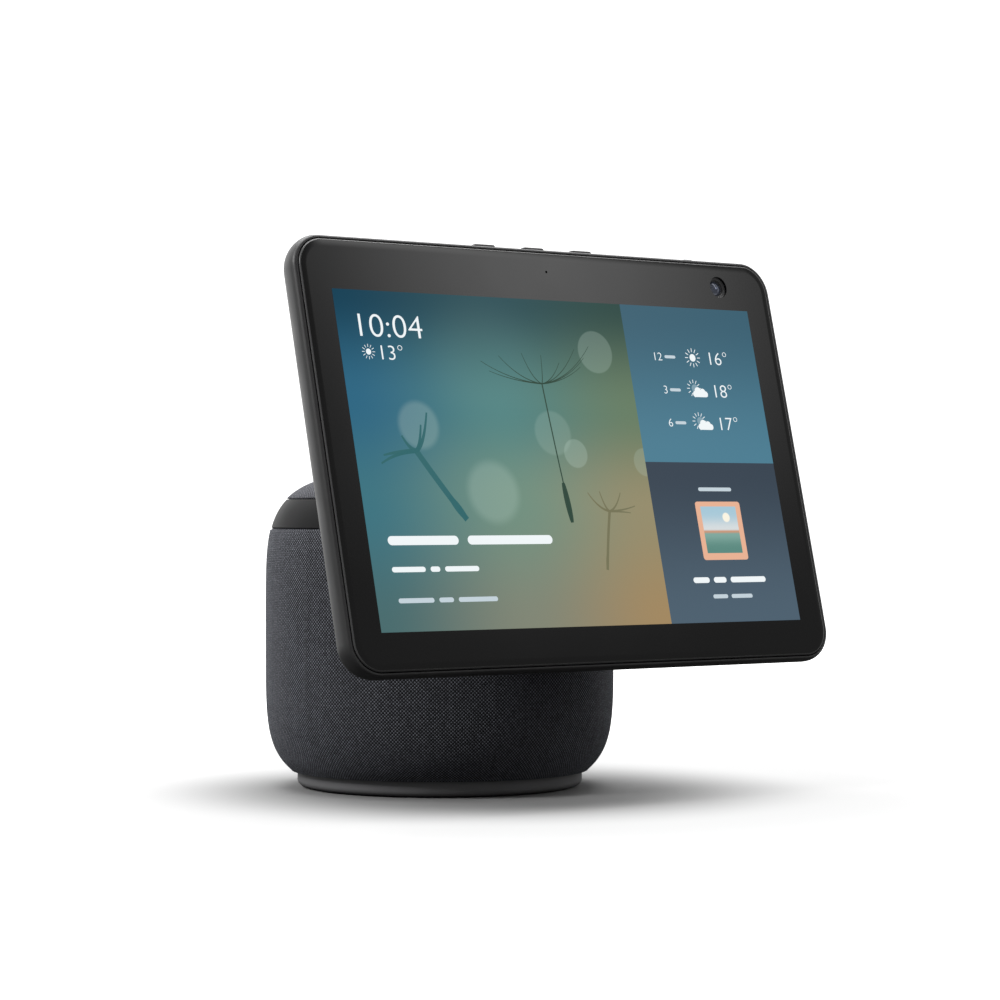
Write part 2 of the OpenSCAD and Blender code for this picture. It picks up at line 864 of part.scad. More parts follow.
module mid_frame() {
  w = glass_w - 2.6;
  h = glass_h - 3.4;
  color("silver")
    on_screen()
      difference() {
        union() {
          difference() {
            slab(w, h, glass_r - 1, tape_y, plate_back);
            slab(w - 4, h - 4, glass_r - 3, tape_y - 1, plate_y);
          }
          hinge_screw_places() post(plate_back - 1, hinge_plate_y, 4, 0, 0);
        }
        hinge_screw_places() post(0, hinge_plate_y + 1, screw_r, 0, 0);
        frame_screw_places() post(0, plate_back + 1, screw_r + fit_gap, 0, 0);
        // Room for the camera and its shutter
        block([shutter_x - 12, 0, camera_z - 7], [camera_x + 9, plate_back + 1, edge_z]);
        // Room for the buttons' board
        block([-button_pitch - 13, plate_y - 1, edge_z - 9], [button_pitch + 13, plate_back + 1, edge_z]);
      }
}

module frame_screws() {
  color("silver")
    on_screen() frame_screw_places() translate([0, plate_y, 0]) rotate([-90, 0, 0]) screw(6);
}

module backlight_plate() {
  color("whitesmoke")
    on_screen() translate([0, 0, picture_z]) slab(panel_w - 1, panel_h - 1, 1, 3.2, plate_y);
}

module lcd_panel() {
  color("black") on_screen() translate([0, 0, picture_z]) slab(panel_w, panel_h, 1, glass_t, 3.2);
}

module adhesive_frame() {
  color("black")
    on_screen()
      difference() {
        slab(glass_w - 2, glass_h - 2.6, glass_r - 1, glass_t, tape_y);
        slab(glass_w - 8, glass_h - 8.6, glass_r - 4, glass_t - 1, tape_y + 1);
      }
}

module cover_glass() {
  color([0.06, 0.06, 0.07]) on_screen() slab(glass_w, glass_h, glass_r, 0, glass_t);
}

// ---- Electronics in the screen ----

board_w = 110;

module heat_spreader() {
  color("silver") on_screen() block([-board_w / 2, plate_back, 4], [board_w / 2, plate_back + 0.6, 62]);
}

module main_board() {
  y = plate_back + 2.2;
  color("darkgreen")
    on_screen()
      union() {
        block([-board_w / 2 + 3, y, 6], [board_w / 2 - 3, y + 1.2, 60]);
        block([-14, plate_back + 0.6, 28], [14, y, 52]);
        for (x = [-40, -26, 22, 38]) block([x - 6, y + 1.2, 30], [x + 6, y + 2.8, 44]);
        block([-48, y + 1.2, 8], [-30, y + 4, 16]);
      }
}

module hinge_screw_places() {
  for (x = [-29, 29], z = [-12, 12]) translate([x, 0, z - hinge_drop]) children();
}

// Bar along the hinge, as long as one ear is thick
module ear_bar(side, r) {
  bar(side * ear_mid - ear_t / 2, side * ear_mid + ear_t / 2, r, hinge_depth, -hinge_drop);
}

module hinge_plate() {
  color("silver")
    on_screen()
      difference() {
        union() {
          block([-35, hinge_plate_y, -hinge_drop - 17], [35, hinge_plate_y + 2.6, -hinge_drop + 17]);
          for (s = [-1, 1])
            difference() {
              union() {
                ear_bar(s, barrel_r + 0.4);
                block(
                  [s * ear_mid - ear_t / 2, hinge_plate_y + 1, -hinge_drop - barrel_r],
                  [s * ear_mid + ear_t / 2, hinge_depth, -hinge_drop + barrel_r]
                );
              }
              bar(-neck_w, neck_w, bush_hole_r, hinge_depth, -hinge_drop);
            }
        }
        hinge_screw_places() post(0, screen_d, screw_r + fit_gap, 0, 0);
      }
}

module hinge_bushes() {
  color("white")
    on_screen()
      for (s = [-1, 1])
        difference() {
          ear_bar(s, bush_hole_r);
          bar(-neck_w, neck_w, pin_r + turn_gap, hinge_depth, -hinge_drop);
        }
}

switch_z = edge_z - 4.5;

module button_board() {
  color("darkgreen")
    on_screen()
      union() {
        block([-button_pitch - 11, plate_y, switch_z - 2.8], [button_pitch + 11, 12, switch_z - 1.6]);
        button_places() block([-2.5, -2, switch_z - 1.6], [2.5, 2, switch_z]);
      }
}

module camera_module() {
  color("dimgray")
    on_screen()
      union() {
        difference() {
          post(3, 5.6, 5.6, camera_x, camera_z);
          post(2, 4.6, 3.9, camera_x, camera_z);
        }
        block([camera_x - 5, 5, camera_z - 5], [camera_x + 5, 9, camera_z + 5]);
      }
}

module camera_lens() {
  color("midnightblue")
    on_screen()
      intersection() {
        translate([camera_x, 7.4, camera_z]) sphere(4.5, $fn = 48);
        post(2.9, 4.6, 3.8, camera_x, camera_z);
      }
}

// ---- Buttons and shutter ----

module button_places() {
  for (i = [-1:1]) translate([i * button_pitch, button_y, 0]) children();
}

// Stadium-shaped bar standing on the edge, wider all round by a gap
module button_shape(gap, z0, z1) {
  r = button_d / 2;
  translate([0, 0, z0])
    linear_extrude(z1 - z0)
      union() {
        square([button_l - button_d, 2 * (r + gap)], center = true);
        for (s = [-1, 1]) translate([s * (button_l / 2 - r), 0]) circle(r + gap, $fn = 32);
      }
}

module button(i) {
  flange_top = edge_z - housing_t - 0.1;
  color([0.23, 0.23, 0.24])
    on_screen()
      translate([i * button_pitch, button_y, 0])
        union() {
          button_shape(0, flange_top - 0.8, edge_z + button_proud);
          button_shape(0.8, flange_top - 0.8, flange_top);
          translate([0, 0, switch_z + button_travel + 0.1])
            cylinder(h = flange_top - switch_z - button_travel - 0.2, r = 1.4, $fn = 24);
        }
}

module volume_down_button() {
  button(-1);
}

module volume_up_button() {
  button(0);
}

module microphone_button() {
  button(1);
}

shutter_w = 5.6;
blade_w = 10.6;

module camera_shutter() {
  y0 = tape_y + 0.3;
  arm_z = edge_z - 4.6;
  knob_back = button_y + button_d / 2;
  color([0.16, 0.16, 0.17])
    on_screen()
      union() {
        // Knob, arm and blade
        block(
          [shutter_x - shutter_w / 2, button_y - button_d / 2, edge_z - 5],
          [shutter_x + shutter_w / 2, knob_back, edge_z + shutter_proud]
        );
        block([shutter_x - shutter_w / 2, y0, edge_z - 5.6], [shutter_x + shutter_w / 2, knob_back, arm_z]);
        block([shutter_x - blade_w / 2, y0, camera_z - 5], [shutter_x + blade_w / 2, y0 + 0.6, arm_z]);
      }
}

// ---- Pieces ----

foot_pad();
foot_shell();
ballast_plate();
foot_screws();
base_shell();
base_fabric();
sound_deflector();
woofer_chamber();
woofer_basket();
woofer_magnet();
woofer_surround();
woofer_cone();
woofer_coil();
woofer_screws();
tweeter_baffle();
left_tweeter();
right_tweeter();
power_board();
amplifier_board();
amplifier_heat_sink();
power_inlet();
inlet_bezel();
motor_deck();
deck_screws();
pan_motor();
motor_shaft();
motor_pinion();
spindle();
glide_ring();
retaining_clip();
spindle_cable();
turntable();
ring_gear();
hub_bush();
collar_band();
top_shell();
top_fabric();
hinge_arm();
arm_screws();
neck_cover();
hinge_pin();
friction_washers();
rear_housing();
mid_frame();
frame_screws();
backlight_plate();
lcd_panel();
adhesive_frame();
cover_glass();
heat_spreader();
main_board();
hinge_plate();
hinge_bushes();
button_board();
camera_module();
camera_lens();
volume_down_button();
volume_up_button();
microphone_button();
camera_shutter();
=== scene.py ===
"""Smart display: a cloth-covered speaker base whose collar turns a screen on a tilting neck.
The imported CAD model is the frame. Every piece below is made round it, in metres, in the order of assembly.
"""
import json
import math

import bmesh
import bpy
from mathutils import Matrix, Vector


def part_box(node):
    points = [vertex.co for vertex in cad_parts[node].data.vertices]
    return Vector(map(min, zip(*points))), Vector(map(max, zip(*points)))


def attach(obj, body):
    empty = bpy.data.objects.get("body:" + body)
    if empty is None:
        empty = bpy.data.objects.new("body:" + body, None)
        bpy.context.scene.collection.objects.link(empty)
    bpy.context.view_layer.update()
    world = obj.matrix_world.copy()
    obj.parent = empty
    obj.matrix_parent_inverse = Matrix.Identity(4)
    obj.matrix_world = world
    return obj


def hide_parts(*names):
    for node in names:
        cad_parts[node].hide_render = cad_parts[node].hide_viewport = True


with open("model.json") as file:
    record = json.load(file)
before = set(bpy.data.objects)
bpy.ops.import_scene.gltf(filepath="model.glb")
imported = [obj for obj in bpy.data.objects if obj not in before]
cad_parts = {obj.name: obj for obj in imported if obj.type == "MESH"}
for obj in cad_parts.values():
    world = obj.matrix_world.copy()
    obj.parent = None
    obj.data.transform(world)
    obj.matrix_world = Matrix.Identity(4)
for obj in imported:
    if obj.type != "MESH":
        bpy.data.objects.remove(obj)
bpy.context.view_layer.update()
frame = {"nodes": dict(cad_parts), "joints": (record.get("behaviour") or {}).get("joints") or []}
MM = 0.001
JOINTS = {joint["name"]: joint for joint in frame["joints"]}


# ---- The table, the studio and the camera ----
# A white table with a bright backdrop behind the object, an upright strip light ahead of the screen,
# and soft boxes overhead and at the left. The camera looks level from the front left, with a long lens.

FULL_TURN = 2 * math.pi
VIEW_YAW = math.radians(38.07)
VIEW_RISE = math.radians(0.19)
VIEW_DISTANCE = 1.279
VIEW_SIDE = 0.0258
VIEW_HEIGHT = 0.118
LENS_MM = 107.3
BACKDROP_EDGE, BACKDROP_LIGHT = (-0.05, 0.35), 1.5
BACKDROP_SIDES, BACKDROP_FALL = (-0.9, 0.9), 0.55
CEILING_EDGE, CEILING_LIGHT = (0.75, 0.98), 0.25
STRIP_TURN = math.radians(44.2)
STRIP_HALF = 0.1
STRIP_FOOT = (0.31, 0.455)
STRIP_SIDE = (0.2, 0.5)
STRIP_LIGHT = 2.15
ROOM_LIGHT = 0.24
TABLE_HALF = 1.6
# The table's tone for the eye, for reflections and for bounced light; it is dim in the last two, a painted shade that
# keeps undersides dark.
TABLE_SEEN, TABLE_MIRRORED, TABLE_SCATTERED = 0.31, 0.03, 0.10
# Painted glow by distance from the object: none close by, a painted soft shadow, then rising; reflections of the far
# table get a fainter painted glow.
NEAR_REACH, NEAR_PAINTED_GLOW = (0.07, 0.155), 0.48
FAR_REACH, FAR_PAINTED_GLOW = (0.17, 0.5), 1.0
MIRROR_REACH, MIRROR_PAINTED_GLOW = (0.2, 0.6), 0.6

view_ahead = Vector((math.sin(VIEW_YAW), math.cos(VIEW_YAW), 0))
view_right = Vector((math.cos(VIEW_YAW), -math.sin(VIEW_YAW), 0))
shadow_middle = 0.015 * view_right - 0.02 * view_ahead


def add_object(name, data):
    made = bpy.data.objects.new(name, data)
    bpy.context.scene.collection.objects.link(made)
    return made


def aim(made, place, ahead):
    made.matrix_world = Matrix.Translation(place) @ ahead.to_track_quat("-Z", "Y").to_matrix().to_4x4()


def make_camera():
    lens = bpy.data.cameras.new("camera")
    lens.lens = LENS_MM
    lens.sensor_width = 36
    lens.clip_start = 0.05
    made = add_object("camera", lens)
    place = VIEW_SIDE * view_right - VIEW_DISTANCE * view_ahead + Vector((0, 0, VIEW_HEIGHT))
    aim(made, place, view_ahead * math.cos(VIEW_RISE) + Vector((0, 0, math.sin(VIEW_RISE))))
    bpy.context.scene.camera = made


def put(tree, value, socket):
    """Links a socket to another, or sets it to a number, a colour or a vector."""
    if isinstance(value, bpy.types.NodeSocket):
        tree.links.new(value, socket)
    else:
        socket.default_value = value


def set_sockets(tree, node, **values):
    """Links or sets a node's inputs; an underscore in a key stands for a space."""
    for key, value in values.items():
        put(tree, value, node.inputs[key.replace("_", " ")])
    return node


def add_node(tree, kind, **values):
    return set_sockets(tree, tree.nodes.new(kind), **values)


def math_node(tree, operation, *values):
    made = tree.nodes.new("ShaderNodeMath")
    made.operation = operation
    for socket, value in zip(made.inputs, values):
        put(tree, value, socket)
    return made.outputs[0]


def product(tree, first, second):
    return math_node(tree, "MULTIPLY", first, second)


def total(tree, first, second):
    return math_node(tree, "ADD", first, second)


def vector_measure(tree, operation, vector, other):
    """Dot product of two vectors, or the distance between two points."""
    made = tree.nodes.new("ShaderNodeVectorMath")
    made.operation = operation
    put(tree, vector, made.inputs[0])
    put(tree, other, made.inputs[1])
    return made.outputs["Value"]


def smooth_range(tree, value, low, high, out_low, out_high):
    made = add_node(
        tree, "ShaderNodeMapRange",
        Value=value, From_Min=low, From_Max=high, To_Min=out_low, To_Max=out_high,
    )
    made.interpolation_type = "SMOOTHSTEP"
    return made.outputs["Result"]


def make_world():
    """Dim room with a bright backdrop, a pale ceiling and an upright strip light ahead of the screen."""
    world = bpy.data.worlds.new("studio")
    world.use_nodes = True
    bpy.context.scene.world = world
    tree = world.node_tree
    tree.nodes.clear()
    way = tree.nodes.new("ShaderNodeTexCoord").outputs["Generated"]

    def along(direction, edge, out_low, out_high):
        return smooth_range(tree, vector_measure(tree, "DOT_PRODUCT", way, direction), *edge, out_low, out_high)

    backdrop = along(view_ahead, BACKDROP_EDGE, 0.0, BACKDROP_LIGHT)
    backdrop = product(tree, backdrop, along(view_right, BACKDROP_SIDES, 1.0, BACKDROP_FALL))
    ceiling = along((0, 0, 1), CEILING_EDGE, 0.0, CEILING_LIGHT)
    across = vector_measure(tree, "DOT_PRODUCT", way, (math.cos(STRIP_TURN), math.sin(STRIP_TURN), 0))
    strip = smooth_range(tree, math_node(tree, "ABSOLUTE", across), 0.0, STRIP_HALF, STRIP_LIGHT, 0.0)
    strip = product(tree, strip, along((0, 0, 1), STRIP_FOOT, 0.0, 1.0))
    strip = product(tree, strip, along((math.sin(STRIP_TURN), -math.cos(STRIP_TURN), 0), STRIP_SIDE, 0.0, 1.0))
    light = total(tree, math_node(tree, "MAXIMUM", backdrop, ceiling), strip)
    seen = tree.nodes.new("ShaderNodeLightPath").outputs["Is Camera Ray"]
    strength = math_node(tree, "MAXIMUM", total(tree, light, ROOM_LIGHT), seen)
    background = add_node(tree, "ShaderNodeBackground", Color=(1, 1, 1, 1), Strength=strength)
    add_node(tree, "ShaderNodeOutputWorld", Surface=background.outputs[0])


def make_light(name, place, target, size, watts):
    lamp = bpy.data.lights.new(name, "AREA")
    lamp.size = size
    lamp.energy = watts
    made = add_object(name, lamp)
    aim(made, place, target - place)


def new_material(name):
    made = bpy.data.materials.new(name)
    made.use_nodes = True
    return made, made.node_tree, made.node_tree.nodes["Principled BSDF"]


def make_table():
    """A white table that glows more with distance from the object: no glow near it, a painted soft shadow, rising to
    the backdrop's white further off; only the eye sees it so bright.
    """
    mesh = bpy.data.meshes.new("floor")
    corners = [(x * TABLE_HALF, y * TABLE_HALF, 0) for x, y in ((-1, -1), (1, -1), (1, 1), (-1, 1))]
    mesh.from_pydata(corners, [], [(0, 1, 2, 3)])
    paint, tree, shader = new_material("white sweep")
    rays = tree.nodes.new("ShaderNodeLightPath").outputs
    seen, mirrored = rays["Is Camera Ray"], rays["Is Glossy Ray"]
    # Dimmer for reflections and bounced light than for the eye: painted shade for the undersides above the table.
    tone = math_node(tree, "MULTIPLY_ADD", mirrored, TABLE_MIRRORED, product(tree, seen, TABLE_SEEN))
    tone = math_node(tree, "MULTIPLY_ADD", rays["Is Diffuse Ray"], TABLE_SCATTERED, tone)
    place = tree.nodes.new("ShaderNodeTexCoord").outputs["Object"]
    # Glow by distance from the object: a painted soft shadow near it and painted light further off.
    reach = vector_measure(tree, "DISTANCE", place, shadow_middle)
    near = smooth_range(tree, reach, *NEAR_REACH, 0.0, NEAR_PAINTED_GLOW)
    far = smooth_range(tree, reach, *FAR_REACH, 0.0, FAR_PAINTED_GLOW)
    painted_glow_seen = product(tree, total(tree, near, far), seen)
    painted_glow_mirrored = product(tree, smooth_range(tree, reach, *MIRROR_REACH, 0.0, MIRROR_PAINTED_GLOW), mirrored)
    set_sockets(
        tree, shader, Base_Color=tone, Roughness=0.9, Specular_IOR_Level=0.0,
        Emission_Color=(1, 1, 1, 1), Emission_Strength=total(tree, painted_glow_seen, painted_glow_mirrored),
    )
    mesh.materials.append(paint)
    add_object("floor", mesh)


make_camera()
make_world()
middle = Vector((0, 0, 0.1))
make_light("top_light", middle + 0.3 * view_ahead + Vector((0, 0, 1.5)), middle, 1.45, 31)
make_light("key_light", middle - 1.05 * view_right - 0.75 * view_ahead + Vector((0, 0, 0.95)), middle, 0.5, 13)
make_table()
bpy.context.scene.view_settings.view_transform = "Standard"


# ---- Foot ----
# The foot is a shallow cup of satin charcoal plastic with a rounded lower edge, moulded in one
# piece. A rubber disc is stuck to its underside and a steel ballast plate lies inside it.

GRAIN_SIZE = 0.35 * MM
CLOUD_SIZE = 18 * MM
MARK_SIZE = (40 * MM, 40 * MM, 0.15 * MM)
ON_AXIS = 1e-6
LATHE_STEPS = 288


def object_noise(tree, size, detail=2.0):
    """Noise in the object's own coordinates, with features of about the given size in metres."""
    place = tree.nodes.new("ShaderNodeTexCoord").outputs["Object"]
    return add_node(tree, "ShaderNodeTexNoise", Vector=place, Scale=1 / size, Detail=detail).outputs["Fac"]


def add_bump(tree, shader, height, depth):
    bump = add_node(tree, "ShaderNodeBump", Height=height, Distance=depth, Strength=1.0)
    set_sockets(tree, shader, Normal=bump.outputs["Normal"])


def mix_colours(tree, factor, first, second):
    """Colour mix; each colour is a tuple of three parts or a socket."""
    made = add_node(tree, "ShaderNodeMix", Factor=factor)
    made.data_type = "RGBA"
    for socket, value in zip(made.inputs[6:8], (first, second)):
        put(tree, (*value, 1) if isinstance(value, tuple) else value, socket)
    return made.outputs[2]


def moulded_plastic(name, colour, roughness, grain=0.012 * MM, shine=0.5):
    """Spark-textured moulding: fine even grain, faint clouding of colour and gloss."""
    made, tree, shader = new_material(name)
    clouds = object_noise(tree, CLOUD_SIZE, 3.0)
    dark, light = (tuple(share * part for part in colour) for share in (0.9, 1.1))
    set_sockets(
        tree, shader, Base_Color=mix_colours(tree, clouds, dark, light), Specular_IOR_Level=shine,
        Roughness=smooth_range(tree, clouds, 0.2, 0.8, roughness - 0.04, roughness + 0.04),
    )
    add_bump(tree, shader, object_noise(tree, GRAIN_SIZE, 1.0), grain)
    return made


def turned_metal(name, colour, roughness):
    """Bare metal with fine marks that run round the vertical axis."""
    made, tree, shader = new_material(name)
    place = tree.nodes.new("ShaderNodeTexCoord").outputs["Object"]
    stretch = add_node(tree, "ShaderNodeMapping", Vector=place, Scale=[1 / size for size in MARK_SIZE])
    marks = add_node(tree, "ShaderNodeTexNoise", Vector=stretch.outputs["Vector"], Scale=1.0).outputs["Fac"]
    set_sockets(
        tree, shader, Base_Color=(*colour, 1), Metallic=1.0,
        Roughness=smooth_range(tree, marks, 0.3, 0.7, roughness - 0.08, roughness + 0.1),
    )
    add_bump(tree, shader, marks, 0.01 * MM)
    return made


def finish_piece(name, mesh, material, body, nodes=(), sharp=32):
    """Makes the object, shades it smooth but for its sharp edges, and rides it on its CAD body."""
    mesh.materials.clear()
    mesh.materials.append(material)
    for face in mesh.polygons:
        face.use_smooth = True
    mesh.set_sharp_from_angle(angle=math.radians(sharp))
    made = add_object(name, mesh)
    if nodes:
        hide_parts(*nodes)
    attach(made, body)


def to_mesh(name, bm, outwards=True):
    """Turns the working shape into a mesh, its faces pointing outwards."""
    if outwards:
        bmesh.ops.recalc_face_normals(bm, faces=bm.faces)
    mesh = bpy.data.meshes.new(name)
    bm.to_mesh(mesh)
    bm.free()
    return mesh


def arc(middle, radius, start, end, steps):
    """Points of an arc on a plane, with angles in degrees."""
    angles = [math.radians(start + (end - start) * i / steps) for i in range(steps + 1)]
    return [(middle[0] + radius * math.cos(angle), middle[1] + radius * math.sin(angle)) for angle in angles]


def loft_mesh(name, rings, cap_first=True, cap_last=True, closed=False):
    """Joins rings of points into a skin, with flat ends where asked for; one point makes a tip."""
    bm = bmesh.new()
    rows = [[bm.verts.new(point) for point in ring] for ring in rings]
    pairs = list(zip(rows, rows[1:]))
    if closed:
        pairs.append((rows[-1], rows[0]))
    for low, high in pairs:
        for i in range(max(len(low), len(high))):
            low_pair, high_pair = ([row[i - 1], row[i]] if len(row) > 1 else row for row in (low, high))
            if len(low_pair) + len(high_pair) > 2:
                bm.faces.new(low_pair + high_pair[::-1])
    if cap_first:
        bm.faces.new(rows[0][::-1])
    if cap_last:
        bm.faces.new(rows[-1])
    return to_mesh(name, bm)


def level_circle(radius, height, segments):
    """Ring of points about the vertical axis, or the one point on it."""
    if radius < ON_AXIS:
        return [(0, 0, height)]
    return [(x, y, height) for x, y in arc((0, 0), radius, 0, 360, segments)[:-1]]


def lathe_mesh(name, outline, closed=True):
    """Turns an outline of (radius, height) points about the vertical axis."""
    return loft_mesh(name, [level_circle(*point, LATHE_STEPS) for point in outline], False, False, closed)


foot_low, foot_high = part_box("foot_shell")
FOOT_R = foot_high.x
FOOT_EDGE = 2.6 * MM
FOOT_WALL = 2.4 * MM
pad_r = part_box("foot_pad")[1].x
foot_inner = FOOT_R - FOOT_WALL
foot_floor = foot_low.z + 3.4 * MM
pad_recess = foot_low.z + 1.0 * MM
foot_outline = (
    [(0, pad_recess), (pad_r + 0.1 * MM, pad_recess), (pad_r + 0.1 * MM, foot_low.z)]
    + arc((FOOT_R - FOOT_EDGE, foot_low.z + FOOT_EDGE), FOOT_EDGE, -90, 0, 10)
    + [(FOOT_R, foot_high.z), (foot_inner, foot_high.z), (foot_inner, foot_floor), (0, foot_floor)]
)
foot_plastic = moulded_plastic("foot plastic", (0.18, 0.18, 0.185), 0.55, shine=0.1)
foot = lathe_mesh("foot", foot_outline, closed=False)
finish_piece("foot", foot, foot_plastic, "base", ["foot_shell"])


def dress(material, *names):
    """Gives CAD nodes a material in place of their plain one."""
    for name in names:
        slots = frame["nodes"][name].data.materials
        slots.clear()
        slots.append(material)


pad_rubber = moulded_plastic("pad rubber", (0.02, 0.02, 0.02), 0.8, 0.05 * MM)
dress(pad_rubber, "foot_pad")
bright_steel = turned_metal("bright steel", (0.62, 0.63, 0.65), 0.3)
dress(bright_steel, "ballast_plate", "foot_screws")


# ---- Inner base shell and what it holds ----
# The shell is a plain moulding with sound slots, screwed to the foot. It holds the woofer in its
# chamber, the two tweeters on their baffle, the boards and, at its top, the pressed motor deck.

inner_plastic = moulded_plastic("inner plastic", (0.07, 0.07, 0.075), 0.55)
dress(inner_plastic, "base_shell", "sound_deflector", "woofer_chamber", "tweeter_baffle")
black_steel = turned_metal("coated steel", (0.05, 0.05, 0.055), 0.45)
dress(black_steel, "woofer_basket", "woofer_magnet", "left_tweeter", "right_tweeter", "pan_motor")
dress(bright_steel, "woofer_screws", "deck_screws", "motor_shaft", "spindle", "retaining_clip")
dress(moulded_plastic("surround rubber", (0.015, 0.015, 0.016), 0.6), "woofer_surround")
dress(moulded_plastic("pressed cone", (0.04, 0.04, 0.042), 0.75, 0.06 * MM), "woofer_cone")
dress(turned_metal("copper wire", (0.72, 0.35, 0.2), 0.35), "woofer_coil")
dress(moulded_plastic("board green", (0.02, 0.11, 0.05), 0.35), "power_board", "amplifier_board")
cast_aluminium = turned_metal("cast aluminium", (0.55, 0.56, 0.58), 0.45)
dress(cast_aluminium, "amplifier_heat_sink", "motor_deck")
acetal = moulded_plastic("acetal", (0.7, 0.69, 0.64), 0.4)
dress(acetal, "motor_pinion", "glide_ring")
dress(moulded_plastic("cable sleeve", (0.02, 0.02, 0.022), 0.6, 0.08 * MM), "spindle_cable")


# ---- Cloth sleeve ----
# A knitted acoustic cloth in mixed charcoal yarns, drawn over the shell and tucked in at its two
# ends. It follows the base's outline, which is a flat-sided round with a soft shoulder.

BASE_DIP = 3 * MM
SHOULDER_POWER = 3.5
SIDE_POWER = 5.3
THREAD = 0.74 * MM
WEAVE_DEPTH = 0.22 * MM
sleeve_low, sleeve_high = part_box("base_fabric")
cap_low, cap_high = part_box("top_fabric")
BASE_R = sleeve_high.x
BASE_H = cap_high.z
outline_middle = (BASE_H - BASE_DIP) / 2
outline_half = (BASE_H + BASE_DIP) / 2


def outline_angle(height, inset=0.0):
    share = max(-1.0, min(1.0, (height - outline_middle) / (outline_half - inset)))
    return math.copysign(math.asin(abs(share) ** (SIDE_POWER / 2)), share)


def outline_point(angle, inset=0.0):
    radius = (BASE_R - inset) * max(0.0, math.cos(angle)) ** (2 / SHOULDER_POWER)
    rise = math.copysign((outline_half - inset) * abs(math.sin(angle)) ** (2 / SIDE_POWER), angle)
    return radius, outline_middle + rise


def outline_run(low, high, steps, inset=0.0):
    """Points of the base's outline between two heights."""
    start, end = outline_angle(low, inset), outline_angle(high, inset)
    return [outline_point(start + (end - start) * i / steps, inset) for i in range(steps + 1)]


def run_lengths(points):
    lengths = [0.0]
    for first, second in zip(points, points[1:]):
        lengths.append(lengths[-1] + math.dist(first, second))
    return lengths


def sleeve_mesh(name, outline, segments, thread_uv, outer_run):
    """Turned cloth, closed all round its outline, with a UV map counted in threads.

    thread_uv gives a point's place on the map from its share of a turn and its run along the outline;
    outer_run is the length of the outer face's run.
    """
    lengths = run_lengths(outline + outline[:1])
    bm = bmesh.new()
    grid = [[bm.verts.new(place) for place in level_circle(*point, segments)] for point in outline]
    uv_map = bm.loops.layers.uv.new("threads")
    for k in range(len(outline)):
        above = (k + 1) % len(outline)
        for i in range(segments):
            j = (i + 1) % segments
            corners = [(k, k, i, i), (k, k, j, i + 1), (above, k + 1, j, i + 1), (above, k + 1, i, i)]
            if len(grid[above]) == 1:
                del corners[3]
            if len(grid[k]) == 1:
                del corners[1]
            if len(corners) < 3:
                continue
            face = bm.faces.new([grid[row][column % len(grid[row])] for row, _, column, _ in corners])
            for loop, (_, step, _, turn) in zip(face.loops, corners):
                loop[uv_map].uv = thread_uv(turn / segments, lengths[step], outer_run)
    return to_mesh(name, bm)


def power(tree, value, exponent):
    return math_node(tree, "POWER", math_node(tree, "MAXIMUM", value, 0.0), exponent)


def thread_lobe(tree, count):
    """Round top of a thread across its width."""
    return math_node(tree, "SINE", product(tree, math_node(tree, "FRACT", count), math.pi))


def thread_height(tree, lobe_over, lobe_under):
    """Height of the thread on top, lower where it dips beside the thread that it crosses."""
    return product(tree, power(tree, lobe_over, 0.6), math_node(tree, "MULTIPLY_ADD", lobe_under, 0.7, 0.3))


def white_noise(tree, *values):
    """Even random shade from one or two whole numbers."""
    joined = tree.nodes.new("ShaderNodeCombineXYZ")
    for socket, value in zip(joined.inputs, values):
        put(tree, value, socket)
    made = add_node(tree, "ShaderNodeTexWhiteNoise", Vector=joined.outputs[0])
    made.noise_dimensions = "3D"
    return made.outputs["Value"]


def mixed(tree, factor, first, second):
    """Plain number mix: first at factor 0, second at factor 1."""
    return math_node(tree, "MULTIPLY_ADD", math_node(tree, "SUBTRACT", second, first), factor, first)


def mapped_place(tree, map_name):
    """The piece's own UV map, as two numbers."""
    source = tree.nodes.new("ShaderNodeUVMap")
    source.uv_map = map_name
    split = add_node(tree, "ShaderNodeSeparateXYZ", Vector=source.outputs[0])
    return split.outputs[0], split.outputs[1]


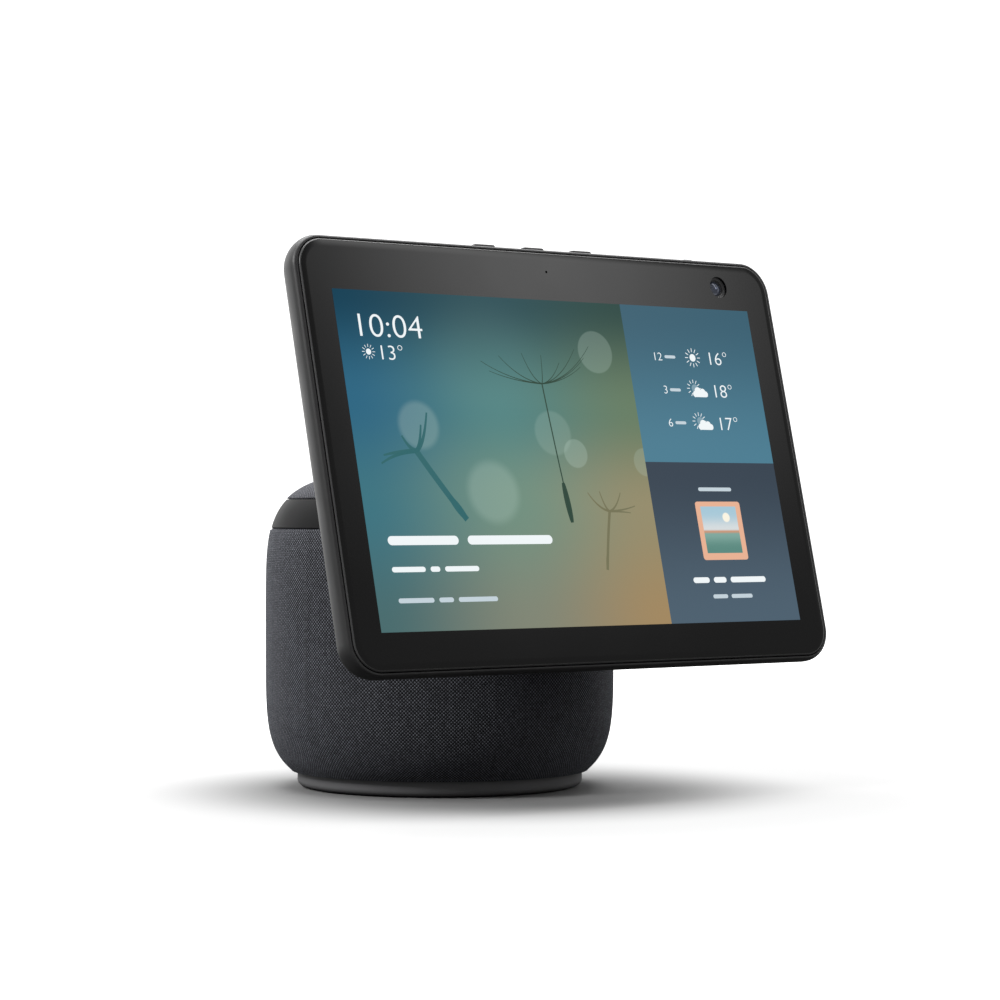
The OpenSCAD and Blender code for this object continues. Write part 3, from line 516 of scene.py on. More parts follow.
def knitted_cloth(name, dark, light):
    """Plain weave of mixed yarns: two sets of round threads that pass over each other in turn."""
    made, tree, shader = new_material(name)
    wobble = math_node(tree, "MULTIPLY_ADD", object_noise(tree, 3 * MM, 2.0), 0.3, -0.15)
    across, along = (total(tree, place, wobble) for place in mapped_place(tree, "threads"))
    column, row = math_node(tree, "FLOOR", across), math_node(tree, "FLOOR", along)
    turn = math_node(tree, "FLOORED_MODULO", total(tree, column, row), 2.0)
    lobe_across, lobe_along = thread_lobe(tree, across), thread_lobe(tree, along)
    upright = thread_height(tree, lobe_across, lobe_along)
    level = thread_height(tree, lobe_along, lobe_across)
    height = mixed(tree, turn, product(tree, level, 0.8), upright)
    yarn = mixed(tree, turn, white_noise(tree, row), white_noise(tree, column))
    heather = object_noise(tree, 2.6 * MM, 3.0)
    mixed_yarn = math_node(tree, "MULTIPLY_ADD", yarn, 0.12, product(tree, heather, 0.2))
    stitch = math_node(tree, "MULTIPLY_ADD", white_noise(tree, column, row), 0.35, 0.28)
    # Cells where the level thread lies on top are nearly black, painted shade for the dark holes between stitches; each
    # thread also darkens towards its sides, painted shade in the dips of the weave.
    pale, dim = total(tree, stitch, mixed_yarn), product(tree, mixed_yarn, 0.12)
    shade = product(tree, mixed(tree, turn, dim, pale), power(tree, height, 0.6))
    set_sockets(
        tree, shader, Base_Color=mix_colours(tree, shade, dark, light), Roughness=0.85, Specular_IOR_Level=0.25,
        Sheen_Weight=0.2, Sheen_Roughness=0.4, Sheen_Tint=(0.62, 0.65, 0.75, 1),
    )
    fuzz = object_noise(tree, 0.12 * MM, 1.0)
    add_bump(tree, shader, math_node(tree, "MULTIPLY_ADD", fuzz, 0.25, height), WEAVE_DEPTH)
    return made


def plain_mesh(made):
    """The object's mesh with its modifiers applied; the object itself is removed."""
    bpy.context.view_layer.update()
    mesh = bpy.data.meshes.new_from_object(made.evaluated_get(bpy.context.evaluated_depsgraph_get()))
    bpy.data.objects.remove(made)
    return mesh


def cut_away(mesh, cutter):
    """Boolean difference of two meshes, applied at once."""
    body = add_object("being_cut", mesh)
    tool = add_object("cutter", cutter)
    cut = body.modifiers.new("cut", "BOOLEAN")
    cut.operation = "DIFFERENCE"
    cut.solver = "EXACT"
    cut.object = tool
    result = plain_mesh(body)
    result.name = mesh.name
    bpy.data.objects.remove(tool)
    return result


def disc_rings(rings, middle_x, middle_z, segments=48):
    """Rings about an axis along y, from (radius, depth) pairs."""
    return [
        [(x, depth, z) for x, z in arc((middle_x, middle_z), radius, 0, 360, segments)[:-1]]
        for radius, depth in rings
    ]


HEM = 0.35 * MM
CLOTH_T = 1.1 * MM
TUCK_BACK = 0.45 * MM
TUCK_RISE = HEM + 0.5 * MM
INLET_Z = 24 * MM
INLET_R = 8.7 * MM
INLET_Y = (0.05, 0.09)
sleeve_threads = 2 * round(math.pi * BASE_R / THREAD)
low_edge = (outline_point(outline_angle(sleeve_low.z + HEM))[0] - HEM, sleeve_low.z + HEM)
high_edge = (outline_point(outline_angle(sleeve_high.z - HEM))[0] - HEM, sleeve_high.z - HEM)
sleeve_outer = (
    arc(low_edge, HEM, 200, 330, 6)
    + outline_run(sleeve_low.z + 1.2 * HEM, sleeve_high.z - 1.2 * HEM, 96)
    + arc(high_edge, HEM, 10, 90, 4)
)
sleeve_tuck = [
    (high_edge[0] - TUCK_BACK, sleeve_high.z),
    (high_edge[0] - TUCK_BACK, high_edge[1] + TUCK_RISE),
    (high_edge[0] - CLOTH_T, high_edge[1] + TUCK_RISE),
]
sleeve_inner = outline_run(sleeve_high.z - 2 * HEM, sleeve_low.z + 2 * HEM, 48, CLOTH_T)
sleeve = sleeve_mesh(
    "cloth_sleeve", sleeve_outer + sleeve_tuck + sleeve_inner, 480,
    lambda turn, run, whole: (turn * sleeve_threads, run / THREAD + 50), 0.0,
)
inlet_rings = disc_rings([(INLET_R, y) for y in INLET_Y], 0, INLET_Z, 64)
sleeve = cut_away(sleeve, loft_mesh("inlet_hole", inlet_rings))
sleeve_cloth = knitted_cloth("sleeve cloth", (0.002, 0.002, 0.003), (0.30, 0.312, 0.355))
finish_piece("cloth_sleeve", sleeve, sleeve_cloth, "base", ["base_fabric"], 60)


# ---- Collar ----
# The collar is a moulded ring in satin charcoal plastic that follows the shoulder of the base.
# It is screwed to the turntable and turns with it, with a thin gap to the cloth on each side.

collar_low, collar_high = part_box("collar_band")
COLLAR_RISE = 0.35 * MM
collar_high.z += COLLAR_RISE
COLLAR_INSET = 0.25 * MM
COLLAR_WALL = 2.3 * MM
COLLAR_EDGE = 0.4 * MM
collar_outer = outline_run(collar_low.z + COLLAR_EDGE, collar_high.z - COLLAR_EDGE, 24, COLLAR_INSET)
collar_inner = outline_run(collar_low.z, collar_high.z, 8, COLLAR_INSET + COLLAR_WALL)
collar_outline = (
    [(collar_outer[0][0] - COLLAR_EDGE, collar_low.z)]
    + collar_outer
    + [(collar_outer[-1][0] - COLLAR_EDGE, collar_high.z)]
    + collar_inner[::-1]
)
collar_plastic = moulded_plastic("collar plastic", (0.016, 0.016, 0.0165), 0.5, shine=0.05)


def box_mesh(name, low, high):
    bm = bmesh.new()
    bmesh.ops.create_cube(bm, size=1)
    for vertex in bm.verts:
        vertex.co = [(a + b) / 2 + (b - a) * share for a, b, share in zip(low, high, vertex.co)]
    return to_mesh(name, bm)


WINDOW_Y = (-0.09, -0.05)
window_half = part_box("neck_cover")[1].x - 5 * MM
window_low, window_high = collar_low.z + 1.6 * MM, collar_high.z - 1.8 * MM
neck_window = box_mesh("neck_window", (-window_half, WINDOW_Y[0], window_low), (window_half, WINDOW_Y[1], window_high))
collar = cut_away(lathe_mesh("collar", collar_outline), neck_window)
finish_piece("collar", collar, collar_plastic, "turntable", ["collar_band"])
dress(acetal, "ring_gear", "hub_bush")
dress(inner_plastic, "turntable", "top_shell")
dress(bright_steel, "arm_screws")


# ---- Top cloth ----
# A cap of the same cloth is stretched over the top shell, which turns with the collar. Its threads
# run straight across the top and bend down the shoulder.

cap_edge = (outline_point(outline_angle(cap_low.z + HEM))[0] - HEM, cap_low.z + HEM)
cap_run = outline_run(cap_low.z + 1.2 * HEM, BASE_H, 40)
cap_outer = arc(cap_edge, HEM, 270, 320, 4) + cap_run[:-1] + [(0, BASE_H)]
cap_inner = [(0, BASE_H - CLOTH_T)] + outline_run(BASE_H - CLOTH_T, cap_low.z + 2 * HEM, 24, CLOTH_T)[1:]
cap_tuck = [
    (cap_edge[0] - CLOTH_T, cap_edge[1] - TUCK_RISE),
    (cap_edge[0] - TUCK_BACK, cap_edge[1] - TUCK_RISE),
    (cap_edge[0] - TUCK_BACK, cap_low.z),
]


def cap_uv(turn, run, whole):
    reach = (whole - run) / THREAD
    return 200 + reach * math.cos(FULL_TURN * turn), 200 + reach * math.sin(FULL_TURN * turn)


cap = sleeve_mesh("cloth_cap", cap_outer + cap_inner + cap_tuck, 360, cap_uv, run_lengths(cap_outer)[-1])
# The cap's cloth is a darker copy of the sleeve's: painted shade that tones down the strong top light falling on it.
cap_cloth = knitted_cloth("cap cloth", (0.002, 0.002, 0.003), (0.26, 0.265, 0.30))
finish_piece("cloth_cap", cap, cap_cloth, "turntable", ["top_fabric"], 60)


# ---- Power inlet ----
# A short tube of black plastic lines the hole in the cloth at the back of the foot. The socket and
# its centre pin sit at the tube's bottom.

black_plastic = moulded_plastic("inlet plastic", (0.012, 0.012, 0.013), 0.32)
dress(black_plastic, "inlet_bezel", "power_inlet")


# ---- Neck and hinge ----
# A cast arm reaches from the turntable through the collar's window to a barrel, and a steel pin
# runs through the barrel. A thin satin cover hides the arm, and spring washers give the hinge its grip.

black_cast = moulded_plastic("black painted casting", (0.015, 0.015, 0.016), 0.4, 0.03 * MM)
dress(black_cast, "hinge_arm", "hinge_plate")
dress(collar_plastic, "neck_cover")
dress(bright_steel, "frame_screws")
dress(black_steel, "hinge_pin")
dress(turned_metal("darkened spring brass", (0.10, 0.07, 0.035), 0.4), "friction_washers")
dress(acetal, "hinge_bushes")


# ---- Screen housing ----
# The housing is one deep moulding in satin charcoal plastic. Its side is rounded a little towards
# the glass and swept in a wide curve to a flat back, and its mouth takes the glass with a thin gap.

tilt = JOINTS["tilt"]
LEAN = math.radians(-tilt["range_deg"][0])
SCREEN_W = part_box("rear_housing")[1].x * 2
SCREEN_H = 176 * MM
SCREEN_D = 18 * MM
HINGE_DEPTH = SCREEN_D + 2 * MM
HINGE_DROP = 20 * MM
CORNER_R = 14 * MM
RIM_W = 3.4 * MM
RIM_Y = 0.8 * MM
WIDEST_Y = 4 * MM
RIM_ROUND = 1.4 * MM
BACK_ROUND = 16 * MM
LEAST_R = 1 * MM
HOUSING_WALL = 2 * MM
FLAT_STRIP = 0.8 * MM
MOUTH_EDGE = 0.15 * MM
GLASS_GAP = 0.35 * MM
GLASS_W = SCREEN_W - 2 * RIM_W - 0.7 * MM
GLASS_H = SCREEN_H - 2 * RIM_W + 0.1 * MM
GLASS_R = CORNER_R - RIM_W
SHEET_GROW = 1.2 * MM
on_screen = (
    Matrix.Translation(tilt["pos_m"])
    @ Matrix.Rotation(-LEAN, 4, "X")
    @ Matrix.Translation((0, -HINGE_DEPTH, HINGE_DROP))
)


def side_inset(depth):
    """How far the housing's side is drawn in at a depth behind the glass."""
    if depth < WIDEST_Y:
        share = (WIDEST_Y - depth) / (WIDEST_Y - RIM_Y)
        return RIM_ROUND * (1 - math.sqrt(max(0.0, 1 - share * share)))
    share = (depth - WIDEST_Y) / (SCREEN_D - WIDEST_Y)
    return BACK_ROUND * (1 - math.sqrt(max(0.0, 1 - share * share)))


def rounded(x0, x1, z0, z1, radius, steps=6):
    """Outline of a rectangle with round corners."""
    left, right, low, high = x0 + radius, x1 - radius, z0 + radius, z1 - radius
    outline = []
    for quarter, corner in enumerate(((right, high), (left, high), (left, low), (right, low))):
        outline += arc(corner, radius, 90 * quarter, 90 * quarter + 90, steps)
    return outline


def round_ring(width, height, radius, depth, steps=14, middle_z=0.0):
    """Rounded rectangle at one depth behind the glass's front plane."""
    outline = rounded(-width / 2, width / 2, middle_z - height / 2, middle_z + height / 2, max(radius, LEAST_R), steps)
    return [(x, depth, z) for x, z in outline]


def body_ring(depth, inset=0.0):
    drawn = side_inset(depth) + inset
    return round_ring(SCREEN_W - 2 * drawn, SCREEN_H - 2 * drawn, CORNER_R - drawn, depth)


front_run, back_run = WIDEST_Y - RIM_Y, SCREEN_D - WIDEST_Y
inner_run = back_run - HOUSING_WALL
front_depths = [RIM_Y + front_run * (1 - math.cos(math.radians(a))) for a in range(0, 90, 9)]
back_depths = [WIDEST_Y + back_run * math.sin(math.radians(a)) for a in range(0, 91, 4)]
inner_depths = [WIDEST_Y + inner_run * math.sin(math.radians(a)) for a in range(90, -1, -10)]
outer_rings = [body_ring(depth) for depth in front_depths + back_depths]
outer_rings.append(body_ring(SCREEN_D, FLAT_STRIP))


def inner_ring(depth):
    drawn = side_inset(WIDEST_Y + (depth - WIDEST_Y) * back_run / inner_run) + HOUSING_WALL
    return round_ring(SCREEN_W - 2 * drawn, SCREEN_H - 2 * drawn, CORNER_R - drawn, depth)


def mouth_ring(depth, grow):
    grow += SHEET_GROW + GLASS_GAP
    return round_ring(GLASS_W + 2 * grow, GLASS_H + 2 * grow, GLASS_R + grow, depth)


mouth_rings = [mouth_ring(WIDEST_Y, 0), mouth_ring(RIM_Y + MOUTH_EDGE, 0), mouth_ring(RIM_Y, MOUTH_EDGE)]
skin = loft_mesh("housing_outside", outer_rings, cap_first=False)
hollow = loft_mesh("housing_inside", [inner_ring(depth) for depth in inner_depths] + mouth_rings, cap_last=False)


def join_meshes(name, meshes, weld=1e-6, outwards=True):
    bm = bmesh.new()
    for mesh in meshes:
        bm.from_mesh(mesh)
    bmesh.ops.remove_doubles(bm, verts=bm.verts, dist=weld)
    return to_mesh(name, bm, outwards)


rim = loft_mesh("housing_rim", [outer_rings[0], mouth_rings[-1]], False, False)
housing = join_meshes("housing", [skin, hollow, rim])
BUTTON_L = 11.5 * MM
BUTTON_D = 3.4 * MM
BUTTON_Y = 7 * MM
BUTTON_PITCH = 25.5 * MM
BUTTON_GAP = 0.2 * MM
SHUTTER_W = 5.6 * MM
SHUTTER_TRAVEL = JOINTS["shutter_slide"]["range_m"][1]
SLOT_L, SLOT_D = SHUTTER_TRAVEL + SHUTTER_W + 0.6 * MM, BUTTON_D - 0.8 * MM
CAMERA_X = GLASS_W / 2 - 26.6 * MM
CAMERA_Z = GLASS_H / 2 - 9 * MM
EDGE_Z = SCREEN_H / 2
HOLE_RUN = (EDGE_Z - 4 * MM, EDGE_Z + 2 * MM)
WINDOW_W, WINDOW_H, WINDOW_R = 48.2 * MM, 17 * MM, 2.5 * MM
WINDOW_STEPS = [(0, -4 * MM), (0, -0.5 * MM), (0.5 * MM, 0), (1.5 * MM, 1 * MM)]


def stadium(length, width, height, middle_x):
    """Outline with round ends, on the housing's top edge."""
    radius, half = width / 2, (length - width) / 2
    ends = arc((middle_x + half, BUTTON_Y), radius, -90, 90, 10) + arc((middle_x - half, BUTTON_Y), radius, 90, 270, 10)
    return [(x, y, height) for x, y in ends]


def stadium_mesh(name, length, width, low, high, middle_x, edge=0.0):
    """Upright stadium with an optional rounded top edge."""
    rings = [stadium(length, width, low, middle_x)]
    steps = 5 if edge else 0
    for i in range(steps + 1):
        angle = math.radians(90 * i / max(1, steps))
        drawn = 2 * edge * (1 - math.cos(angle))
        rings.append(stadium(length - drawn, width - drawn, high - edge + edge * math.sin(angle), middle_x))
    if edge:
        rings.append(stadium(length - 4 * edge, width - 4 * edge, high, middle_x))
    return loft_mesh(name, rings)


for i in (-1, 0, 1):
    hole_l, hole_d = BUTTON_L + 2 * BUTTON_GAP, BUTTON_D + 2 * BUTTON_GAP
    housing = cut_away(housing, stadium_mesh("button_hole", hole_l, hole_d, *HOLE_RUN, i * BUTTON_PITCH))
housing = cut_away(housing, stadium_mesh("shutter_slot", SLOT_L, SLOT_D, *HOLE_RUN, CAMERA_X - SHUTTER_TRAVEL / 2))
window_rings = [
    round_ring(WINDOW_W + 2 * grow, WINDOW_H + 2 * grow, WINDOW_R + grow, SCREEN_D + past, 6, -HINGE_DROP)
    for grow, past in WINDOW_STEPS
]
housing = cut_away(housing, loft_mesh("hinge_window", window_rings))
housing.transform(on_screen)
housing_plastic = moulded_plastic("housing plastic", (0.028, 0.028, 0.0285), 0.45)
finish_piece("screen_housing", housing, housing_plastic, "screen", ["rear_housing"], 28)


# ---- Buttons and camera shutter ----
# Two volume buttons and a microphone button stand a little proud of the top edge, and so does the
# shutter's knob. All are moulded in a plastic a little darker and glossier than the housing's, with softened edges.

BUTTON_PROUD = 1.9 * MM
BUTTON_ROOT = 2.9 * MM
SHUTTER_PROUD = 1.5 * MM
BLADE_HALF = 4.75 * MM
button_plastic = moulded_plastic("button plastic", (0.014, 0.014, 0.0145), 0.32)
BUTTONS = {"volume_down_button": -1, "volume_up_button": 0, "microphone_button": 1}
for node_name, place in BUTTONS.items():
    low, high = EDGE_Z - BUTTON_ROOT, EDGE_Z + BUTTON_PROUD
    button = stadium_mesh(node_name, BUTTON_L, BUTTON_D, low, high, place * BUTTON_PITCH, 0.6 * MM)
    button.transform(on_screen)
    finish_piece(node_name + "_cap", button, button_plastic, node_name, [node_name])

shutter_x = CAMERA_X - SHUTTER_TRAVEL
knob_low, knob_high = EDGE_Z - 5 * MM, EDGE_Z + SHUTTER_PROUD
knob = stadium_mesh("shutter_knob", SHUTTER_W, BUTTON_D - 1.2 * MM, knob_low, knob_high, shutter_x, 0.4 * MM)
# Half width, depths and heights of the blade's face, its step back and its stem, and of the bridge to the knob.
BLADE_BOXES = [
    (BLADE_HALF, (1.15 * MM, 1.45 * MM), (CAMERA_Z - 5 * MM, CAMERA_Z + 5.4 * MM)),
    (BLADE_HALF, (1.3 * MM, 2.2 * MM), (CAMERA_Z + 5.1 * MM, CAMERA_Z + 5.35 * MM)),
    (BLADE_HALF, (1.9 * MM, 2.3 * MM), (CAMERA_Z + 5.15 * MM, EDGE_Z - 4.6 * MM)),
]
BRIDGE = (SHUTTER_W / 2, (2.0 * MM, BUTTON_Y + 1 * MM), (EDGE_Z - 5.6 * MM, EDGE_Z - 4.7 * MM))


def shutter_box(half, depths, heights):
    return box_mesh("shutter_box", (shutter_x - half, depths[0], heights[0]), (shutter_x + half, depths[1], heights[1]))


blade = join_meshes("shutter_blade", [shutter_box(*box) for box in BLADE_BOXES])
shutter = join_meshes("camera_shutter", [knob, blade, shutter_box(*BRIDGE)])
shutter.transform(on_screen)
finish_piece(
    "camera_shutter_slide", shutter, button_plastic, "camera_shutter", ["camera_shutter"],
)


# ---- Frame, boards and light inside the screen ----
# A cast frame carries the glass on foam tape and is screwed to the housing. The backlight, the
# main board with its heat spreader and the button board sit on it.

dress(cast_aluminium, "mid_frame", "heat_spreader")
dress(moulded_plastic("diffuser", (0.8, 0.81, 0.82), 0.5), "backlight_plate")
dress(moulded_plastic("foam tape", (0.01, 0.01, 0.01), 0.9, 0.1 * MM), "adhesive_frame")
dress(moulded_plastic("screen board", (0.02, 0.11, 0.05), 0.35), "main_board", "button_board")


# ---- Camera ----
# The lens sits in a dark barrel behind a round clear window in the glass's print. Its dome is coated,
# with a painted glint over a dark pupil.

CAMERA_HOLE = 4.7 * MM
CAMERA_RIM = CAMERA_HOLE + 0.2 * MM
CAMERA_FRONT, CAMERA_BACK = 1.6 * MM, 5.2 * MM
BORE_R = 2.6 * MM
LENS_R = 3.6 * MM
LENS_BACK, LENS_RISE = 3.2 * MM, 1.55 * MM
LENS_MIDDLE = 1.9 * MM
# From the middle outwards: a small painted glint, a dark pupil, and a grey iris with a dark edge.
LENS_ZONES_WITH_GLINT = [
    (0.0, (0.6, 0.65, 0.75)), (0.1, (0.4, 0.44, 0.55)), (0.18, (0.04, 0.045, 0.06)),
    (0.5, (0.12, 0.125, 0.145)), (0.75, (0.16, 0.16, 0.17)), (1.0, (0.05, 0.05, 0.05)),
]
cone_rings = [
    (CAMERA_RIM, CAMERA_FRONT), (CAMERA_HOLE, CAMERA_FRONT), (3.8 * MM, 2.0 * MM), (3.7 * MM, 2.6 * MM),
    (BORE_R, 2.8 * MM), (BORE_R, CAMERA_BACK), (CAMERA_RIM, CAMERA_BACK),
]
camera_cone = loft_mesh("camera_cone", disc_rings(cone_rings, CAMERA_X, CAMERA_Z), False, False, True)
camera_cone.transform(on_screen)
lens_black = moulded_plastic("lens barrel", (0.14, 0.14, 0.142), 0.45, shine=0.4)
finish_piece("camera_barrel", camera_cone, lens_black, "screen", ["camera_module"], 25)
dome_turns = [math.radians(a) for a in range(0, 91, 6)]
dome = [(LENS_R * math.sin(turn) + ON_AXIS, LENS_BACK - LENS_RISE * math.cos(turn)) for turn in dome_turns]
lens_mesh = loft_mesh("camera_lens", disc_rings(dome, CAMERA_X, CAMERA_Z))
lens_mesh.transform(on_screen)


def colour_ramp(tree, share, stops, interpolation="LINEAR"):
    """Run of colours along a share from 0 to 1; each stop is a place and a colour."""
    made = add_node(tree, "ShaderNodeValToRGB", Fac=share)
    ramp = made.color_ramp
    ramp.interpolation = interpolation
    while len(ramp.elements) < len(stops):
        ramp.elements.new(0.5)
    for element, (place, colour) in zip(ramp.elements, stops):
        element.position = place
        element.color = (*colour, 1)
    return made.outputs["Color"]


lens_glass, lens_tree, lens_shader = new_material("lens glass")
lens_place = lens_tree.nodes.new("ShaderNodeTexCoord").outputs["Object"]
lens_middle = on_screen @ Vector((CAMERA_X, LENS_MIDDLE, CAMERA_Z))
lens_away = vector_measure(lens_tree, "DISTANCE", lens_place, lens_middle)
lens_colour_with_glint = colour_ramp(lens_tree, math_node(lens_tree, "DIVIDE", lens_away, LENS_R), LENS_ZONES_WITH_GLINT)
set_sockets(
    lens_tree, lens_shader, Base_Color=lens_colour_with_glint, Roughness=0.12, IOR=1.8,
    Coat_Weight=1.0, Coat_Roughness=0.03, Coat_Tint=(0.75, 0.82, 1.0, 1),
)
finish_piece("camera_lens_dome", lens_mesh, lens_glass, "screen", ["camera_lens"])


# ---- Cover glass ----
# One sheet of glass with its front edge ground to a small bevel, printed black behind and bonded to
# the panel, so only its front face shines. A clear window is left in it for the camera.

GLASS_FRONT = 0.2 * MM
GLASS_BACK = 1.1 * MM
GLASS_BEVEL = 0.8 * MM
BEZEL_X = 12.2 * MM
BEZEL_BOTTOM = 13.9 * MM
BEZEL_TOP = 19.2 * MM
PICTURE_W = GLASS_W - 2 * BEZEL_X
PICTURE_H = GLASS_H - BEZEL_TOP - BEZEL_BOTTOM
PICTURE_Z = (BEZEL_BOTTOM - BEZEL_TOP) / 2
DOT_R = 0.55 * MM
DOT_Z = GLASS_H / 2 - 7 * MM
DRILL_RUN = (-1 * MM, 3 * MM)


def glass_ring(drawn, depth):
    grow = SHEET_GROW - drawn
    return round_ring(GLASS_W + 2 * grow, GLASS_H + 2 * grow, GLASS_R + grow, depth)


glass_rings = [glass_ring(4 * GLASS_BEVEL, GLASS_FRONT)]
for angle in range(0, 91, 15):
    turn = math.radians(angle)
    glass_rings.append(glass_ring(GLASS_BEVEL * (1 - math.sin(turn)), GLASS_FRONT + GLASS_BEVEL * (1 - math.cos(turn))))
glass_mesh = loft_mesh("cover_glass", glass_rings + [glass_ring(0.0, GLASS_BACK)])
for radius, x, z in ((CAMERA_HOLE, CAMERA_X, CAMERA_Z), (DOT_R, 0.0, DOT_Z)):
    glass_mesh = cut_away(glass_mesh, loft_mesh("drill", disc_rings([(radius, y) for y in DRILL_RUN], x, z)))
is_ground_bevel_with_painted_highlight = [0.15 < -face.normal.y < 0.99 for face in glass_mesh.polygons]
glass_mesh.transform(on_screen)
printed_glass, ink_tree, ink_shader = new_material("black printed glass")
ink_clouds = object_noise(ink_tree, 40 * MM, 2.0)
set_sockets(
    ink_tree, ink_shader, Base_Color=(0.0015, 0.0015, 0.0016, 1), IOR=1.5,
    Roughness=smooth_range(ink_tree, ink_clouds, 0.3, 0.7, 0.08, 0.10),
)
finish_piece("cover_glass_sheet", glass_mesh, printed_glass, "screen", ["cover_glass"], 25)
# The bevel is a lighter, rougher grey than the glass: partly its frosted grinding, partly a painted highlight along the
# edge.
glass_mesh.materials.append(moulded_plastic("ground glass edge", (0.07, 0.07, 0.07), 0.35, shine=0.4))
for face, ground in zip(glass_mesh.polygons, is_ground_bevel_with_painted_highlight):
    face.material_index = int(ground)


# ---- Picture ----
# The lit panel shows a home page: a blurred garden wallpaper with seeds and spots of light, a clock,
# a column of hours with their weather, and a card with a plain picture. Words are plain bars.

LAYER = 0.04 * MM
PAPER, FAR_MARKS, NEAR_MARKS, MARKS = (GLASS_FRONT - LAYER * i for i in (1, 2, 3, 4))
half_w, half_h = PICTURE_W / MM / 2, PICTURE_H / MM / 2
SPLIT_X = 36.8
SPLIT_Z = 0.2
CURVE_SHARES = [i / 10 for i in range(11)]

dress(lens_black, "lcd_panel")


def srgb(red, green, blue):
    """Linear colour from the usual 0-255 numbers."""
    parts = [value / 255 for value in (red, green, blue)]
    return tuple(part / 12.92 if part <= 0.04045 else ((part + 0.055) / 1.055) ** 2.4 for part in parts)


def lit_ink(name, colour):
    """Ink that the panel lights up, of one colour in 0-255 numbers or with a function that makes its colour."""
    made, tree, shader = new_material(name)
    set_sockets(
        tree, shader, Base_Color=(0, 0, 0, 1), Roughness=0.12, Specular_IOR_Level=0.12,
        Emission_Color=colour(tree) if callable(colour) else (*srgb(*colour), 1), Emission_Strength=1.0,
    )
    return made


def flat_mesh(name, outlines, front):
    """Thin printed shapes, each a list of (x, z) points in millimetres from the picture's middle."""
    bm = bmesh.new()
    uv_map = bm.loops.layers.uv.new("picture")
    for outline in outlines:
        rows = [
            [bm.verts.new((x * MM, depth, z * MM + PICTURE_Z)) for x, z in outline]
            for depth in (front, front + LAYER)
        ]
        made = [bm.faces.new(rows[0]), bm.faces.new(rows[1][::-1])]
        for i in range(len(outline)):
            made.append(bm.faces.new((rows[0][i - 1], rows[1][i - 1], rows[1][i], rows[0][i])))
        made[0].normal_update()
        if made[0].normal.y > 0:
            bmesh.ops.reverse_faces(bm, faces=made)
        for face in made:
            for loop in face.loops:
                loop[uv_map].uv = (loop.vert.co.x / PICTURE_W + 0.5, (loop.vert.co.z - PICTURE_Z) / PICTURE_H + 0.5)
    mesh = to_mesh(name, bm, False)
    mesh.transform(on_screen)
    return mesh


def show(name, outlines, front, material):
    finish_piece(name, flat_mesh(name, outlines, front), material, "screen", ())


def disc(x, z, radius):
    return arc((x, z), radius, 0, 360, 32)[:-1]


def bar(x0, x1, z, thick):
    """Rounded bar that stands for a word."""
    radius = thick / 2
    return arc((x1 - radius, z), radius, -90, 90, 12) + arc((x0 + radius, z), radius, 90, 270, 12)


def picture_place(tree):
    """The picture's own place: millimetres from its middle, and the height as a share from 0 to 1."""
    across, up = mapped_place(tree, "picture")
    wide = math_node(tree, "MULTIPLY_ADD", across, 2 * half_w, -half_w)
    return wide, math_node(tree, "MULTIPLY_ADD", up, 2 * half_h, -half_h), up


def height_ramp(tree, share, stops):
    """Soft run of colours by height; each stop is a height from 0 to 1 and a colour in 0-255 numbers."""
    return colour_ramp(tree, share, [(place, srgb(*colour)) for place, *colour in stops], "EASE")


def spot(tree, across, up, x, z, radius, edge):
    """Soft-edged disc: 1 inside, 0 outside."""
    away_x = math_node(tree, "SUBTRACT", across, x)
    away_z = math_node(tree, "SUBTRACT", up, z)
    squares = total(tree, product(tree, away_x, away_x), product(tree, away_z, away_z))
    return smooth_range(tree, math_node(tree, "SQRT", squares), radius - edge, radius + edge, 1.0, 0.0)


# Colours by height, at the wallpaper's left edge, in its middle and at its right edge.
PAPER_LEFT = [(0.0, 74, 108, 110), (0.38, 62, 116, 129), (0.68, 44, 102, 130), (1.0, 8, 62, 84)]
PAPER_CENTRE = [(0.0, 129, 134, 117), (0.38, 112, 143, 127), (0.66, 78, 129, 128), (1.0, 36, 76, 84)]
PAPER_RIGHT = [(0.0, 162, 136, 97), (0.35, 149, 140, 108), (0.66, 101, 124, 98), (1.0, 38, 70, 64)]
# Blurred lights: place, radius, softness of the edge, and strength.
BLURRED_LIGHTS = [
    (19.2, 46.7, 9.0, 0.35, 0.11), (-77.0, 13.8, 9.5, 1.6, 0.12), (-10.0, 11.7, 9.2, 0.8, 0.08),
    (0.3, 3.3, 6.0, 0.35, 0.13), (-45.0, -13.0, 12.3, 2.6, 0.12), (36.7, 0.0, 6.0, 0.35, 0.1),
    (-40.0, 40.0, 24.0, 14.0, 0.02),
]


def wallpaper_colour(tree):
    across, up, share = picture_place(tree)
    left, centre, right = (height_ramp(tree, share, stops) for stops in (PAPER_LEFT, PAPER_CENTRE, PAPER_RIGHT))
    colour = mix_colours(tree, smooth_range(tree, across, -half_w, -32.0, 0.0, 1.0), left, centre)
    colour = mix_colours(tree, smooth_range(tree, across, -38.0, SPLIT_X, 0.0, 1.0), colour, right)
    for *place, strength in BLURRED_LIGHTS:
        light = product(tree, spot(tree, across, up, *place), strength)
        colour = mix_colours(tree, light, colour, srgb(215, 240, 228))
    return colour


def shaded_glow(name, foot, low, high):
    """Panel colour that runs from low at its foot to high at its head."""
    stops = [(foot, *low), (foot + 0.5, *high)]
    return lit_ink(name, lambda tree: height_ramp(tree, picture_place(tree)[2], stops))


def oblong(x0, x1, z0, z1):
    return [(x0, z0), (x1, z0), (x1, z1), (x0, z1)]


